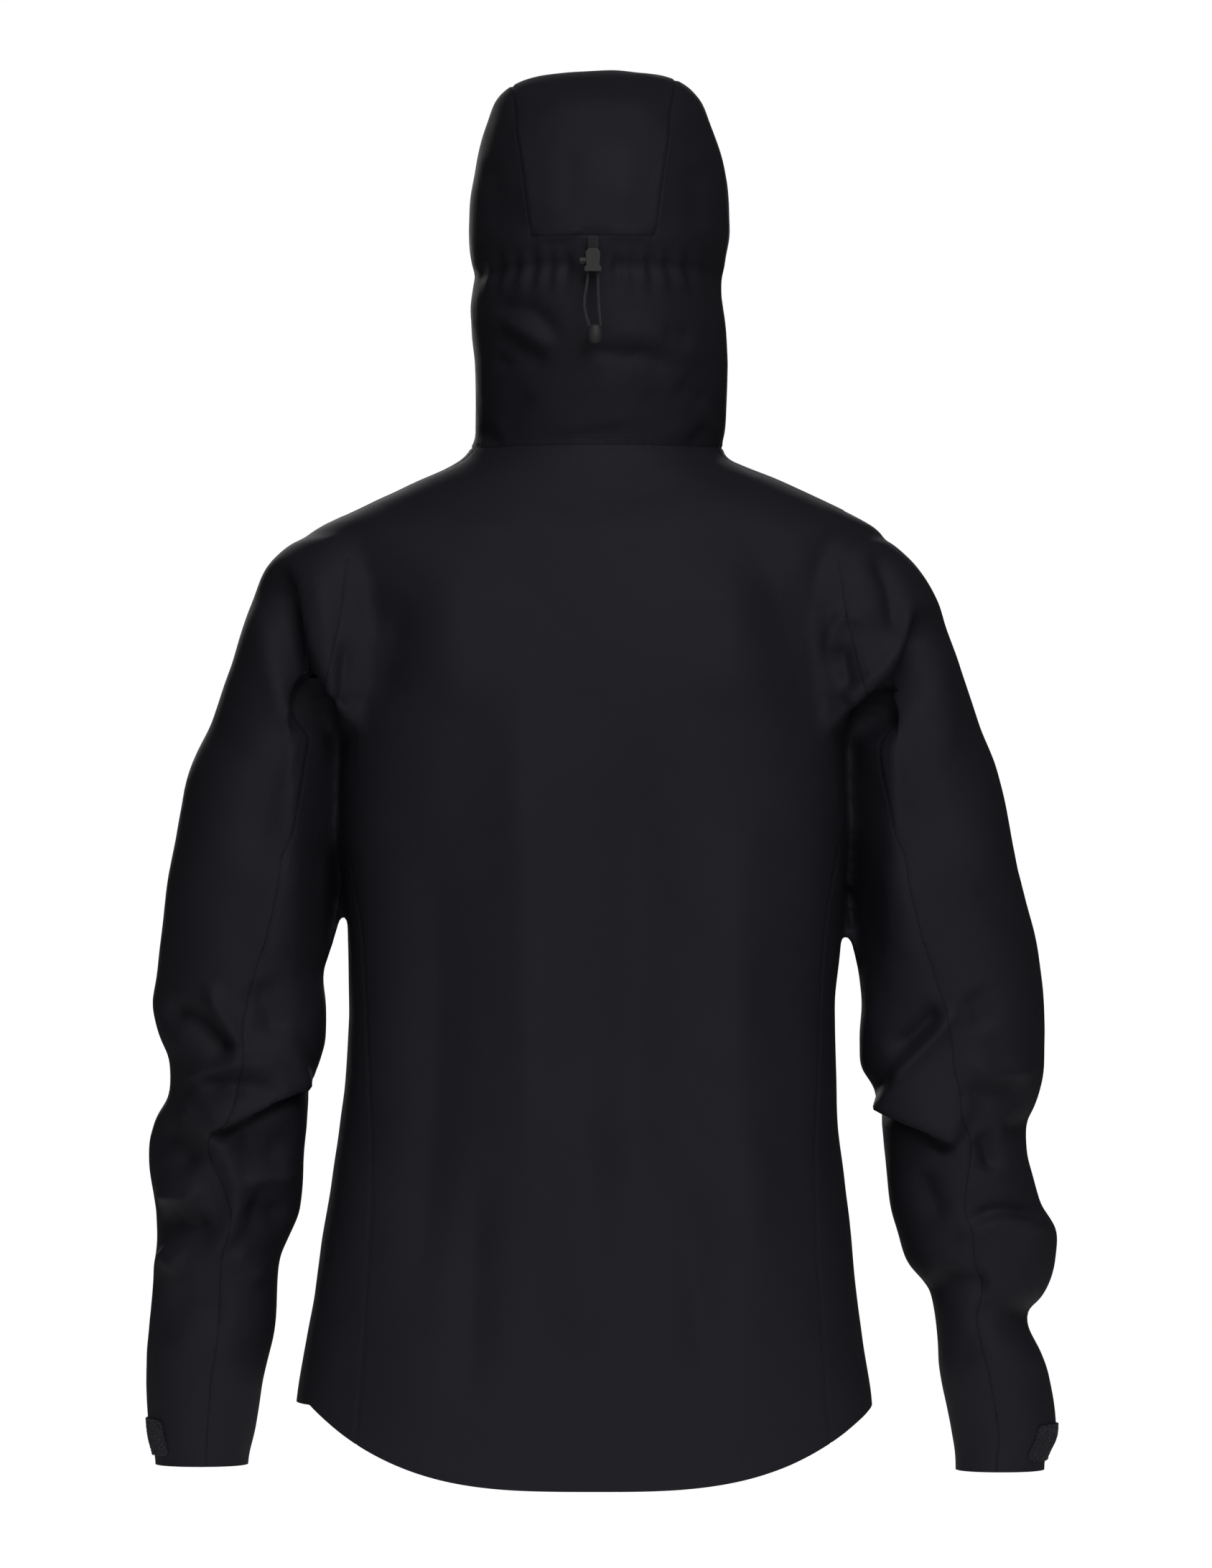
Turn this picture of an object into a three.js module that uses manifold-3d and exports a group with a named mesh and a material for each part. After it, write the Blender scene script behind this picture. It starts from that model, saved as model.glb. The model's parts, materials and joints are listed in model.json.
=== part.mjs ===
// A hardshell jacket, zipped up and filled as if worn, in millimetres.
// +Z is up, the wearer faces -Y and the wearer's left is +X. The hem's lowest point is z = 0 while the
// pieces are made, and the whole group is then moved so that its origin is the hang loop's lower edge.
import * as THREE from 'three';
import { mergeVertices } from 'three/addons/utils/BufferGeometryUtils.js';
import Module from 'manifold-3d';

const wasm = await Module();
wasm.setup();

// ---- Driving dimensions ----

const WALL = 2; // a fabric panel
const SEAM = 0.35; // between two panels that are sewn together
const GAP = 0.3; // between two pieces that lie on each other

const NECK_HEIGHT = 766; // neck seam above the lowest point of the hem
const SIDE_HEM_RISE = 60; // the hem at the sides and the front above its lowest point
const HEM_CURVE = 3.2; // how suddenly the dropped back hem rises towards the sides
const HEM_HALF = 209; // half widths of the body
const WAIST_HALF = 180.5;
const CHEST_HALF = 187;
const SHOULDER_HALF = 196;
const NECK_HALF = 91;
const HEM_FRONT = 140; // how far the front edge of the zip lies from the middle
const NECK_FRONT = 117;
const HEM_BACK = 126;
const WAIST_BACK = 120;
const BLADE_BACK = 131;
const NECK_BACK = 80;
const WAIST_HEIGHT = 335;
const CHEST_HEIGHT = 545;
const SHOULDER_DROP = 68; // from the neck seam down to the shoulder's corner
const UNDERARM_DROP = 286; // from the neck seam down to the foot of the armhole
const SIDE_SEAM_HALF = 167; // the side panels' seams
const SHOULDER_SEAM_Y = 14;

const HOOD_TOP = 275; // crown above the neck seam
const HOOD_HALF = 97;
const HOOD_BACK = 122;
const HOOD_FRONT = 122;
const CREASE_RISE = 152; // the hood's cross seam above the neck seam
const COLLAR_RISE = 70; // collar's top edge above the neck seam
const COLLAR_BACK_Y = -12; // where the collar meets the hood
const FACE_HALF = 72; // face opening
const FACE_TOP_RISE = 208;
const CROWN_SEAM_HALF = 44; // crown panel at the cross seam
const CROWN_SEAM_SPREAD = 0.13; // how much wider per millimetre of height
const BRIM_REACH = 34;
const BRIM_HALF = 66;
const BRIM_THICK = 2.4;
const BRIM_RISE = 26; // the brim's root above the face opening
const EDGE_WIDTH = 13; // tunnel round the face opening
const CHANNEL_HEIGHT = 15; // the cord's channel round the back of the head
const CHANNEL_DROP = 32; // from the hood's cross seam down to the channel's foot

const CHIN_HALF = 44;
const CHIN_RISE = 8; // chin guard's foot above the neck seam
const CHIN_DROP = 6; // chin guard's head below the collar's top edge
const BEHIND_SLIDER = 6.4; // from the outer face in to what lies behind a slider's rear plate
const SHEET_LAP = 0.4; // how far a sheet reaches into its own sewn edge, to be one solid with it
const LOOP_HALF = 27; // the hang loop's free stretch
const LOOP_FOOT = 7; // what is sewn down at each end
const LOOP_TALL = 6;
const LOOP_THICK = 1.6;
const LOOP_BOW = 11;
const LABEL_HALF = 21;
const LABEL_RISE = 16; // above the neck seam
const LABEL_TALL = 26;
const LABEL_THICK = 1.2;

const ELBOW_DROP = 365; // from the shoulder's corner down to the elbow seam
const CUFF_HEIGHT = 42;
const FACING = 1.6; // facings, tapes and patches
const TUNNEL_HEIGHT = 24;
const LOOP_PATCH_TALL = 26;
const LOOP_PATCH_THICK = 1.3;
const HOOK_PATCH_TALL = 20;
const HOOK_PATCH_THICK = 1.1;
const CUFF_TAB_TALL = 28;
const CUFF_TAB_THICK = 1.6;

const ZIP_SLOT_HALF = 5.6; // gap between two panels that a zip closes
const TAPE_HALF = 11;
const TAPE_THICK = 1.4;
const CHAIN_HALF = 3.2;
const CHAIN_SLIT_HALF = 0.8;
const SLIDER_LENGTH = 13;
const PULL_LENGTH = 26;
const PULL_SWING_ROOM = 0.6;
const POCKET_ZIP_LENGTH = 190;
const POCKET_ZIP_FOOT = 228;
const POCKET_ZIP_X = 112;
const POCKET_DEPTH = 2.4;
const POCKET_STEP = 14; // the closed slider's middle below the chain's top
const SLIDER_HALF = 4.6;
const SLIDER_PLATE = 2.2;
const REAR_PLATE = 1.3;
const HOOK_HALF = 1.3; // the slider's hook, which holds the pull
const HOOK_TOP = 5.6;
const PULL_HALF = 3.6;
const BOX_LENGTH = 13;
const FLAP_IN = 12; // the storm flap, from the middle to the wearer's right and left
const FLAP_OUT = 24;
const HEM_LOCK_X = 150;
const HEM_LOCK_RISE = 13;

const CORD_RADIUS = 0.9;
const CORD_SPREAD = 3.7; // half the distance between the cord's two strands
const CORD_DROP = 38; // the strands' visible length
const LOCK_HALF = 6.1;
const LOCK_HEIGHT = 17;
const LOCK_DEPTH = 9.5;
const LOCK_FRONT = 2.2; // how much of the lock's depth lies on the hood's side of the tab
const LOCK_TAB_LENGTH = 9;
const LOCK_TAB_HALF = 4;
const LOCK_TAB_THICK = 1.4;
const BUTTON_RADIUS = 3.4;
const BUTTON_ROOM = 0.35;
const END_RADIUS = 6.2;
const END_HEIGHT = 15;
const END_X = -1.5;

const TORSO_SIDES = 36;
const SLEEVE_SIDES = 20;
const HOOD_SIDES = 24;
const SHOULDER_HEIGHT = NECK_HEIGHT - SHOULDER_DROP;
const UNDERARM_HEIGHT = NECK_HEIGHT - UNDERARM_DROP;
const ELBOW_HEIGHT = SHOULDER_HEIGHT - ELBOW_DROP;
const COLLAR_TOP = NECK_HEIGHT + COLLAR_RISE;
const LOOP_Z = NECK_HEIGHT + 3;
const TAB_TOP = NECK_HEIGHT + CREASE_RISE - 1;
const LOCK_TOP = TAB_TOP - LOCK_TAB_LENGTH;
const LOCK_FOOT = LOCK_TOP - LOCK_HEIGHT;
const BUTTON_Z = LOCK_FOOT + 7.8;
const END_TOP = LOCK_FOOT - CORD_DROP;
const FAR = 900; // larger than any piece

// ---- Solids ----

// A closed geometry as a solid that can be joined and cut.
function solid(geometry, matrix) {
  const plain = geometry.clone();
  if (matrix) plain.applyMatrix4(matrix);
  plain.deleteAttribute('normal');
  if (plain.getAttribute('uv')) plain.deleteAttribute('uv');
  const merged = mergeVertices(plain, 1e-4);
  const corners = merged.getAttribute('position').array;
  const faces = new Uint32Array(merged.index.array);
  return new wasm.Manifold(new wasm.Mesh({ numProp: 3, vertProperties: corners, triVerts: faces }));
}

// A box between two corners.
function block(x0, x1, y0, y1, z0, z1, matrix) {
  const box = new THREE.BoxGeometry(x1 - x0, y1 - y0, z1 - z0);
  box.translate((x0 + x1) / 2, (y0 + y1) / 2, (z0 + z1) / 2);
  return solid(box, matrix);
}

// A flat outline in X and Z, drawn out along Y.
function outlineXZ(points, y0, y1) {
  const shape = new THREE.Shape(points.map(([x, z]) => new THREE.Vector2(x, z)));
  const drawn = new THREE.ExtrudeGeometry(shape, { depth: y1 - y0, bevelEnabled: false });
  drawn.rotateX(Math.PI / 2);
  drawn.translate(0, y1, 0);
  return solid(drawn);
}

// A turned shape standing on +Z.
function turned(profile, sides, matrix) {
  const lathe = new THREE.LatheGeometry(profile.map(([r, z]) => new THREE.Vector2(r, z)), sides);
  lathe.rotateX(Math.PI / 2);
  return solid(lathe, matrix);
}

// A cylinder from z0 to z1.
function rod(radius, z0, z1, sides, matrix) {
  const drum = new THREE.CylinderGeometry(radius, radius, z1 - z0, sides);
  drum.rotateX(Math.PI / 2);
  drum.translate(0, 0, (z0 + z1) / 2);
  return solid(drum, matrix);
}

// A value that runs smoothly through a list of [height, value] pairs.
function smooth(keys, height) {
  const last = keys.length - 1;
  if (height <= keys[0][0]) return keys[0][1];
  if (height >= keys[last][0]) return keys[last][1];
  const i = keys.findIndex((key) => key[0] > height) - 1;
  const slope = (a, b) => (keys[b][1] - keys[a][1]) / (keys[b][0] - keys[a][0]);
  const tangent = (k) => {
    if (k === 0 || k === last) return slope(Math.max(k - 1, 0), Math.min(k + 1, last));
    const before = slope(k - 1, k);
    const after = slope(k, k + 1);
    return before * after <= 0 ? 0 : (2 * before * after) / (before + after);
  };
  const span = keys[i + 1][0] - keys[i][0];
  const t = (height - keys[i][0]) / span;
  const [a, b] = [keys[i][1], keys[i + 1][1]];
  return (
    a * (1 + 2 * t) * (1 - t) ** 2 +
    b * t * t * (3 - 2 * t) +
    tangent(i) * span * t * (1 - t) ** 2 -
    tangent(i + 1) * span * t * t * (1 - t)
  );
}

// One level ring: a rounded box outline. power 2 is an ellipse.
function ring({ z, x = 0, half, front, back, power, sides }) {
  const middle = (front + back) / 2;
  const deep = (back - front) / 2;
  const points = [];
  for (let i = 0; i < sides; i++) {
    const angle = (i / sides) * 2 * Math.PI;
    const [c, s] = [Math.cos(angle), Math.sin(angle)];
    const round = (v) => Math.sign(v) * Math.abs(v) ** (2 / power);
    points.push([x + half * round(c), middle + deep * round(s), z]);
  }
  return points;
}

// A closed solid through level rings from the bottom up.
function loft(rings) {
  const sides = rings[0].length;
  const points = rings.flat();
  const faces = [];
  for (let r = 0; r + 1 < rings.length; r++) {
    for (let i = 0; i < sides; i++) {
      const j = (i + 1) % sides;
      const [a, b, c, d] = [r * sides + i, r * sides + j, (r + 1) * sides + j, (r + 1) * sides + i];
      faces.push(a, b, c, a, c, d);
    }
  }
  for (const [r, turn] of [[0, false], [rings.length - 1, true]]) {
    const centre = [0, 1, 2].map((k) => rings[r].reduce((sum, p) => sum + p[k], 0) / sides);
    points.push(centre);
    for (let i = 0; i < sides; i++) {
      const pair = [r * sides + i, r * sides + ((i + 1) % sides)];
      faces.push(points.length - 1, ...(turn ? pair : pair.reverse()));
    }
  }
  const geometry = new THREE.BufferGeometry();
  geometry.setAttribute('position', new THREE.Float32BufferAttribute(points.flat(), 3));
  geometry.setIndex(faces);
  return solid(geometry);
}

const join = (...parts) => parts.reduce((whole, part) => whole.add(part));
const cut = (whole, ...tools) => tools.reduce((rest, tool) => rest.subtract(tool), whole);

// ---- The body's shape ----

// The front edge is straight from hem to neck, so that the zip runs straight.
const FRONT_LEAN = (HEM_FRONT - NECK_FRONT) / (NECK_HEIGHT - SIDE_HEM_RISE);
const frontAt = (z) => -(HEM_FRONT - FRONT_LEAN * (z - SIDE_HEM_RISE));

const BODY_HALF = [
  [0, HEM_HALF + 3],
  [SIDE_HEM_RISE, HEM_HALF],
  [WAIST_HEIGHT, WAIST_HALF],
  [CHEST_HEIGHT, CHEST_HALF],
  [SHOULDER_HEIGHT - 14, SHOULDER_HALF],
];
const BODY_BACK = [
  [0, HEM_BACK + 2],
  [WAIST_HEIGHT, WAIST_BACK],
  [CHEST_HEIGHT + 45, BLADE_BACK],
  [SHOULDER_HEIGHT, BLADE_BACK - 19],
  [NECK_HEIGHT, NECK_BACK],
];
const flankAt = (z) => smooth(BODY_HALF, z);
const backAt = (z) => smooth(BODY_BACK, z);
const bodyPower = (z) => 2.2 + 0.3 * Math.min(1, Math.max(0, (SHOULDER_HEIGHT - z) / 150));

// The body as a full solid, grown outwards by some amount, with its ends run past by ends.
function body(grow, ends = 0) {
  const span = SHOULDER_HEIGHT - 14 - 4;
  const levels = [0, 0.16, 0.32, 0.48, 0.64, 0.82, 1].map((share) => 4 + share * span);
  const rings = [[4 - 24 - ends, flankAt(0), HEM_BACK + 2]];
  for (const z of levels) rings.push([z, flankAt(z), backAt(z)]);
  const shoulder = [
    [SHOULDER_HEIGHT + 4, SHOULDER_HALF - 4],
    [SHOULDER_HEIGHT + 16, SHOULDER_HALF - 13],
    [SHOULDER_HEIGHT + 0.55 * SHOULDER_DROP, (SHOULDER_HALF + NECK_HALF) / 2 - 2],
    [SHOULDER_HEIGHT + 0.82 * SHOULDER_DROP, NECK_HALF + 13],
    [NECK_HEIGHT, NECK_HALF + 1],
  ];
  for (const [z, half] of shoulder) rings.push([z, half, backAt(z)]);
  const lifted = rings.map(([z, half, back], i) => {
    const lift = grow * Math.min(1, Math.max(0, (i - levels.length + 2) / 2));
    return ring({
      z: z + lift,
      half: half + grow,
      front: frontAt(z + lift) - grow,
      back: back + grow,
      power: bodyPower(z),
      sides: TORSO_SIDES,
    });
  });
  if (ends > 0) lifted.push(lifted[lifted.length - 1].map(([x, y, z]) => [x, y, z + ends]));
  return loft(lifted);
}

// Everything below the hem, raised by some amount: level at the front, dropped at the back.
function belowHem(raise = 0) {
  const level = SIDE_HEM_RISE + raise;
  const points = [[-FAR, -FAR], [FAR, -FAR], [FAR, level], [HEM_HALF + 6, level]];
  const steps = 16;
  for (let i = 0; i <= steps; i++) {
    const x = HEM_HALF * (1 - (2 * i) / steps);
    points.push([x, SIDE_HEM_RISE * (Math.abs(x) / HEM_HALF) ** HEM_CURVE + raise]);
  }
  points.push([-HEM_HALF - 6, level], [-FAR, level]);
  const front = block(-FAR, FAR, -FAR, 0.5, -FAR, level);
  return join(front, outlineXZ(points, 0, FAR));
}

// ---- The sleeves' shape ----

// Each level: drop below the shoulder's corner, gap from the body's side, width, front and back.
// The first levels lie inside the body. The two sleeves hang a little differently.
const SLEEVES = {
  left: [
    [-6, -42, 48, -38, 54],
    [7, -62, 90, -56, 72],
    [36, -66, 121, -70, 85],
    [88, -60, 139, -80, 90],
    [160, -43, 149, -79, 89],
    [212, -15, 134, -75, 85],
    [240, 2.5, 126, -72, 82],
    [302, 12, 127, -67, 76],
    [ELBOW_DROP, 15, 123, -63, 72],
    [395, 23, 106, -63, 68],
    [430, 23, 118, -66, 62],
    [514, 24, 101, -70, 46],
    [600, 33, 94, -73, 30],
    [650, 42, 78, -74, 21],
    [686, 47, 68, -73, 17],
  ],
  right: [
    [-6, -42, 48, -38, 54],
    [7, -62, 90, -56, 72],
    [36, -66, 122, -70, 85],
    [88, -60, 141, -80, 90],
    [160, -43, 151, -79, 89],
    [212, -15, 136, -75, 85],
    [240, 2.5, 132, -72, 82],
    [302, 7, 140, -67, 76],
    [ELBOW_DROP, 16, 136, -63, 72],
    [408, 27, 120, -63, 68],
    [445, 28, 107, -66, 60],
    [514, 31, 117, -70, 46],
    [590, 49, 74, -73, 30],
    [640, 53, 79, -74, 23],
    [690, 60, 62, -73, 17],
  ],
};
const SIDES = { left: 1, right: -1 };
const SHOULDER_LEVELS = 3; // the levels that lie over the shoulder and are lifted as the sleeve grows

function sleeve(side, grow, ends = 0) {
  const levels = SLEEVES[side].map(([drop, gap, width, front, back], i) => {
    const z = SHOULDER_HEIGHT - drop;
    const inner = flankAt(z) + gap;
    const lift = i < SHOULDER_LEVELS ? grow : 0;
    return ring({
      z: z + lift,
      x: SIDES[side] * (inner + width / 2),
      half: width / 2 + grow,
      front: front - grow,
      back: back + grow,
      power: 2.15,
      sides: SLEEVE_SIDES,
    });
  });
  levels.reverse();
  if (ends > 0) levels.unshift(levels[0].map(([x, y, z]) => [x, y, z - ends]));
  return loft(levels);
}

const cuffFoot = (side) => SHOULDER_HEIGHT - SLEEVES[side][SLEEVES[side].length - 1][0];

// Where a sleeve's back seam runs at some height, from the armhole down to the cuff.
const SEAM_KEYS = [[0, 94], [ELBOW_HEIGHT, 68], [UNDERARM_HEIGHT, 24]];
const seamX = (side, z) => SIDES[side] * (flankAt(z) + smooth(SEAM_KEYS, z));

// The inner, body side of a sleeve's two long seams.
function sleeveUnderside(side, shift) {
  const s = SIDES[side];
  const below = [-373, -273, -183, -93, 0].map((z) => ELBOW_HEIGHT + z);
  const above = [-80, -40, 0, 70].map((z) => UNDERARM_HEIGHT + z);
  const line = [...below, ...above].map((z) => [seamX(side, z) + s * shift, z]);
  const points = [[0, line[0][1]], ...line, [0, line[line.length - 1][1]]];
  return outlineXZ(s > 0 ? points : points.reverse(), -FAR, FAR);
}

// ---- The hood's shape ----

const HOOD_KEYS = {
  half: [
    [0, NECK_HALF], [30, HOOD_HALF - 3], [102, HOOD_HALF - 3], [128, HOOD_HALF - 4], [155, HOOD_HALF],
    [181, HOOD_HALF - 2], [207, HOOD_HALF - 6], [234, HOOD_HALF - 15], [252, HOOD_HALF - 26],
    [264, HOOD_HALF - 44], [271, HOOD_HALF - 64], [HOOD_TOP, 12],
  ],
  back: [
    [0, NECK_BACK], [40, HOOD_BACK - 31], [90, HOOD_BACK - 14], [128, HOOD_BACK - 9], [155, HOOD_BACK - 1],
    [181, HOOD_BACK], [207, HOOD_BACK - 5], [234, HOOD_BACK - 18], [252, HOOD_BACK - 36],
    [264, HOOD_BACK - 58], [271, HOOD_BACK - 82], [HOOD_TOP, 22],
  ],
  front: [
    [0, NECK_FRONT], [COLLAR_RISE, NECK_FRONT - FRONT_LEAN * COLLAR_RISE], [128, HOOD_FRONT - 3],
    [155, HOOD_FRONT], [190, HOOD_FRONT], [216, HOOD_FRONT - 8], [234, HOOD_FRONT - 20],
    [252, HOOD_FRONT - 42], [264, HOOD_FRONT - 68], [271, HOOD_FRONT - 94], [HOOD_TOP, 10],
  ],
};

// The neck and hood as a full solid.
function hood(grow, ends = 0) {
  const rises = [0, COLLAR_RISE / 2, COLLAR_RISE, 102, 128, 155, 188, 214, 237, 254, 266, 272, HOOD_TOP];
  const rings = rises.map((rise) => {
    const lift = grow * Math.min(1, Math.max(0, (rise - 181) / 50));
    const straight = rise <= COLLAR_RISE;
    const front = straight ? -frontAt(NECK_HEIGHT + rise) : smooth(HOOD_KEYS.front, rise);
    return ring({
      z: NECK_HEIGHT + GAP + rise + lift,
      half: smooth(HOOD_KEYS.half, rise) + grow,
      front: -front - grow,
      back: smooth(HOOD_KEYS.back, rise) + grow,
      power: 2.2,
      sides: HOOD_SIDES,
    });
  });
  if (ends > 0) rings.unshift(rings[0].map(([x, y, z]) => [x, y, z - ends]));
  return loft(rings);
}

// The face opening, grown by some amount.
function faceOpening(grow) {
  const shape = [];
  const [low, high] = [COLLAR_TOP + GAP - grow, NECK_HEIGHT + FACE_TOP_RISE + grow];
  const [half, corner, steps] = [FACE_HALF + grow, 52, 6];
  const corners = [[half, high, 0], [-half, high, 1], [-half, low, 2], [half, low, 3]];
  for (const [x, z, turn] of corners) {
    const r = z === high ? corner + grow : 18 + grow;
    const centre = [x - Math.sign(x) * r, z === high ? z - r : z + r];
    for (let i = 0; i <= steps; i++) {
      const angle = ((turn + i / steps) * Math.PI) / 2;
      shape.push([centre[0] + r * Math.cos(angle), centre[1] + r * Math.sin(angle)]);
    }
  }
  return outlineXZ(shape, -FAR, -30);
}

// The crown panel's wedge between its two long seams, narrowed by shift.
function crownWedge(shift) {
  const foot = NECK_HEIGHT + CREASE_RISE;
  const rise = HOOD_TOP - CREASE_RISE + 40;
  const [low, high] = [CROWN_SEAM_HALF - shift, CROWN_SEAM_HALF + CROWN_SEAM_SPREAD * rise - shift];
  const points = [[-low, foot + shift], [low, foot + shift], [high, foot + rise], [-high, foot + rise]];
  return outlineXZ(points, -FAR, FAR);
}

// ---- Materials ----

function paint(color, roughness, metalness = 0) {
  return new THREE.MeshStandardMaterial({ color, roughness, metalness });
}
const shellFabric = paint(0x201f24, 0.78);
const liningFabric = paint(0x2a2a2f, 0.85);
const tapeFabric = paint(0x151518, 0.9);
const pile = paint(0x2b2b2f, 1);
const moulded = paint(0x121214, 0.45);
const zinc = paint(0x1a1a1d, 0.35, 0.8);
const webbing = paint(0x19191c, 0.85);

const jacket = new THREE.Group();

// Puts a solid in the jacket as a named mesh.
function add(name, made, material, matrix) {
  const { vertProperties, triVerts, numProp } = made.getMesh();
  const corners = [];
  for (let i = 0; i < vertProperties.length; i += numProp) corners.push(...vertProperties.slice(i, i + 3));
  const geometry = new THREE.BufferGeometry();
  geometry.setAttribute('position', new THREE.Float32BufferAttribute(corners, 3));
  geometry.setIndex(new THREE.BufferAttribute(triVerts, 1));
  geometry.computeVertexNormals();
  const mesh = new THREE.Mesh(geometry, material);
  mesh.name = name;
  if (matrix) mesh.applyMatrix4(matrix);
  jacket.add(mesh);
}

// ---- Body panels ----

const bodySolid = body(0);
const bodyRoom = body(-WALL, 40);
const bodyClear = body(GAP);
const sleeveRooms = join(sleeve('left', -WALL, 30), sleeve('right', -WALL, 30));
const zipSlot = block(-ZIP_SLOT_HALF, ZIP_SLOT_HALF, -FAR, 0, -FAR, FAR * 2);

// The body's front face at some width and height.
function frontPoint(x, z) {
  const power = bodyPower(z);
  const middle = (frontAt(z) + backAt(z)) / 2;
  const deep = (backAt(z) - frontAt(z)) / 2;
  const share = Math.abs(x) / flankAt(z);
  return new THREE.Vector3(x, middle - deep * (1 - share ** power) ** (1 / power), z);
}

// The straight line of a pocket zip on the front: a matrix whose axes are across, along and out.
function pocketFrame(side) {
  const s = SIDES[side];
  const foot = frontPoint(s * POCKET_ZIP_X, POCKET_ZIP_FOOT);
  const head = frontPoint(s * POCKET_ZIP_X, POCKET_ZIP_FOOT + POCKET_ZIP_LENGTH);
  const beside = frontPoint(s * POCKET_ZIP_X + 12, (foot.z + head.z) / 2);
  const other = frontPoint(s * POCKET_ZIP_X - 12, (foot.z + head.z) / 2);
  const along = head.clone().sub(foot).normalize();
  const out = beside.sub(other).cross(along).normalize();
  const across = along.clone().cross(out);
  return new THREE.Matrix4().makeBasis(across, along, out).setPosition(foot);
}
const pocketFrames = { left: pocketFrame('left'), right: pocketFrame('right') };
const pocketSlots = Object.values(pocketFrames).map((frame) =>
  block(-ZIP_SLOT_HALF, ZIP_SLOT_HALF, -2, POCKET_ZIP_LENGTH + 2, -20, 20, frame)
);

const bodyShell = cut(bodySolid, bodyRoom, belowHem(), sleeveRooms, zipSlot, ...pocketSlots);

// The region of a side panel, narrowed by shift.
const sideRegion = (side, shift) => {
  const [a, b] = [SIDE_SEAM_HALF + shift, FAR];
  const [x0, x1] = side === 'left' ? [a, b] : [-b, -a];
  return block(x0, x1, -FAR, FAR, -FAR, UNDERARM_HEIGHT - shift);
};
const bothSides = join(sideRegion('left', -SEAM / 2), sideRegion('right', -SEAM / 2));
const backHalf = block(-FAR, FAR, SHOULDER_SEAM_Y + SEAM / 2, FAR, -FAR, FAR * 2);
add('back_panel', cut(bodyShell.intersect(backHalf), bothSides), shellFabric);
for (const side of ['left', 'right']) {
  const [x0, x1] = side === 'left' ? [0, FAR] : [-FAR, 0];
  const frontQuarter = block(x0, x1, -FAR, SHOULDER_SEAM_Y - SEAM / 2, -FAR, FAR * 2);
  add(`front_panel_${side}`, cut(bodyShell.intersect(frontQuarter), bothSides), shellFabric);
  add(`side_panel_${side}`, bodyShell.intersect(sideRegion(side, SEAM / 2)), shellFabric);
}

// A lining ring from some depth inside the body's wall.
const bodyLiner = (depth, thick) => cut(body(-depth, 0), body(-depth - thick, 40));
const frontTapeRoom = block(-TAPE_HALF - GAP, TAPE_HALF + GAP, -FAR, 0, -FAR, FAR * 2);
add(
  'hem_tunnel',
  cut(bodyLiner(WALL + GAP, FACING).intersect(belowHem(TUNNEL_HEIGHT)), belowHem(0.8), frontTapeRoom),
  liningFabric
);

// ---- Neck: collar, chin guard, hang loop, label ----

const hoodSolid = hood(0);
const hoodShell = cut(hoodSolid, hood(-WALL, 30));
const collarRegion = (shift) => block(-FAR, FAR, -FAR, COLLAR_BACK_Y - shift, 0, COLLAR_TOP - shift);
const collarShell = cut(hoodShell.intersect(collarRegion(SEAM / 2)), zipSlot);
add('collar_left', collarShell.intersect(block(0, FAR, -FAR, FAR, 0, FAR * 2)), shellFabric);
add('collar_right', collarShell.intersect(block(-FAR, 0, -FAR, FAR, 0, FAR * 2)), shellFabric);

// The chin guard: a sheet behind the zip, sewn to the collar at both sides of it.
const chinLiner = cut(hood(-BEHIND_SLIDER, 0), hood(-BEHIND_SLIDER - FACING, 30));
const chinBlock = (x0, x1) => block(x0, x1, -FAR, -40, NECK_HEIGHT + CHIN_RISE, COLLAR_TOP - CHIN_DROP);
const chinBox = chinBlock(-CHIN_HALF, CHIN_HALF);
const chinFoot = (side) => {
  const [x0, x1] = side > 0 ? [TAPE_HALF + 3, CHIN_HALF] : [-CHIN_HALF, -TAPE_HALF - 3];
  const liner = cut(hood(-WALL - GAP, 0), hood(-BEHIND_SLIDER - SHEET_LAP, 30));
  return liner.intersect(chinBlock(x0, x1));
};
add('chin_guard', join(chinLiner.intersect(chinBox), chinFoot(1), chinFoot(-1)), liningFabric);

const neckInside = NECK_BACK - WALL; // the neck's inner face in the middle of the back
const loopInside = neckInside - LOOP_BOW - LOOP_THICK; // the strap's outer face, nearest the wearer

// The hang loop: a strap bowed away from the neck, sewn down at both ends.
function hangLoop() {
  const steps = 10;
  const bow = (t) => loopInside + LOOP_BOW * Math.abs(t) ** 2.4;
  const line = [...Array(steps + 1).keys()].map((i) => (2 * i) / steps - 1);
  const near = line.map((t) => [t * LOOP_HALF, bow(t)]);
  const far = line.map((t) => [t * LOOP_HALF, bow(t) + LOOP_THICK]).reverse();
  const end = LOOP_HALF + LOOP_FOOT;
  far.unshift([end, neckInside - 1], [end, neckInside + 8]);
  far.push([-end, neckInside + 8], [-end, neckInside - 1]);
  const shape = new THREE.Shape([...near, ...far].map(([x, y]) => new THREE.Vector2(x, y)));
  const strap = new THREE.ExtrudeGeometry(shape, { depth: LOOP_TALL, bevelEnabled: false });
  strap.translate(0, 0, LOOP_Z);
  return solid(strap).intersect(hood(-WALL - GAP, 30));
}
add('hang_loop', hangLoop(), webbing);

const labelFoot = NECK_HEIGHT + LABEL_RISE;
const labelBox = block(-LABEL_HALF, LABEL_HALF, 0, FAR, labelFoot, labelFoot + LABEL_TALL);
const labelLiner = cut(hood(-WALL - GAP, 0), hood(-WALL - GAP - LABEL_THICK, 30));
add('neck_label', labelLiner.intersect(labelBox), liningFabric);

// ---- Hood ----

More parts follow.
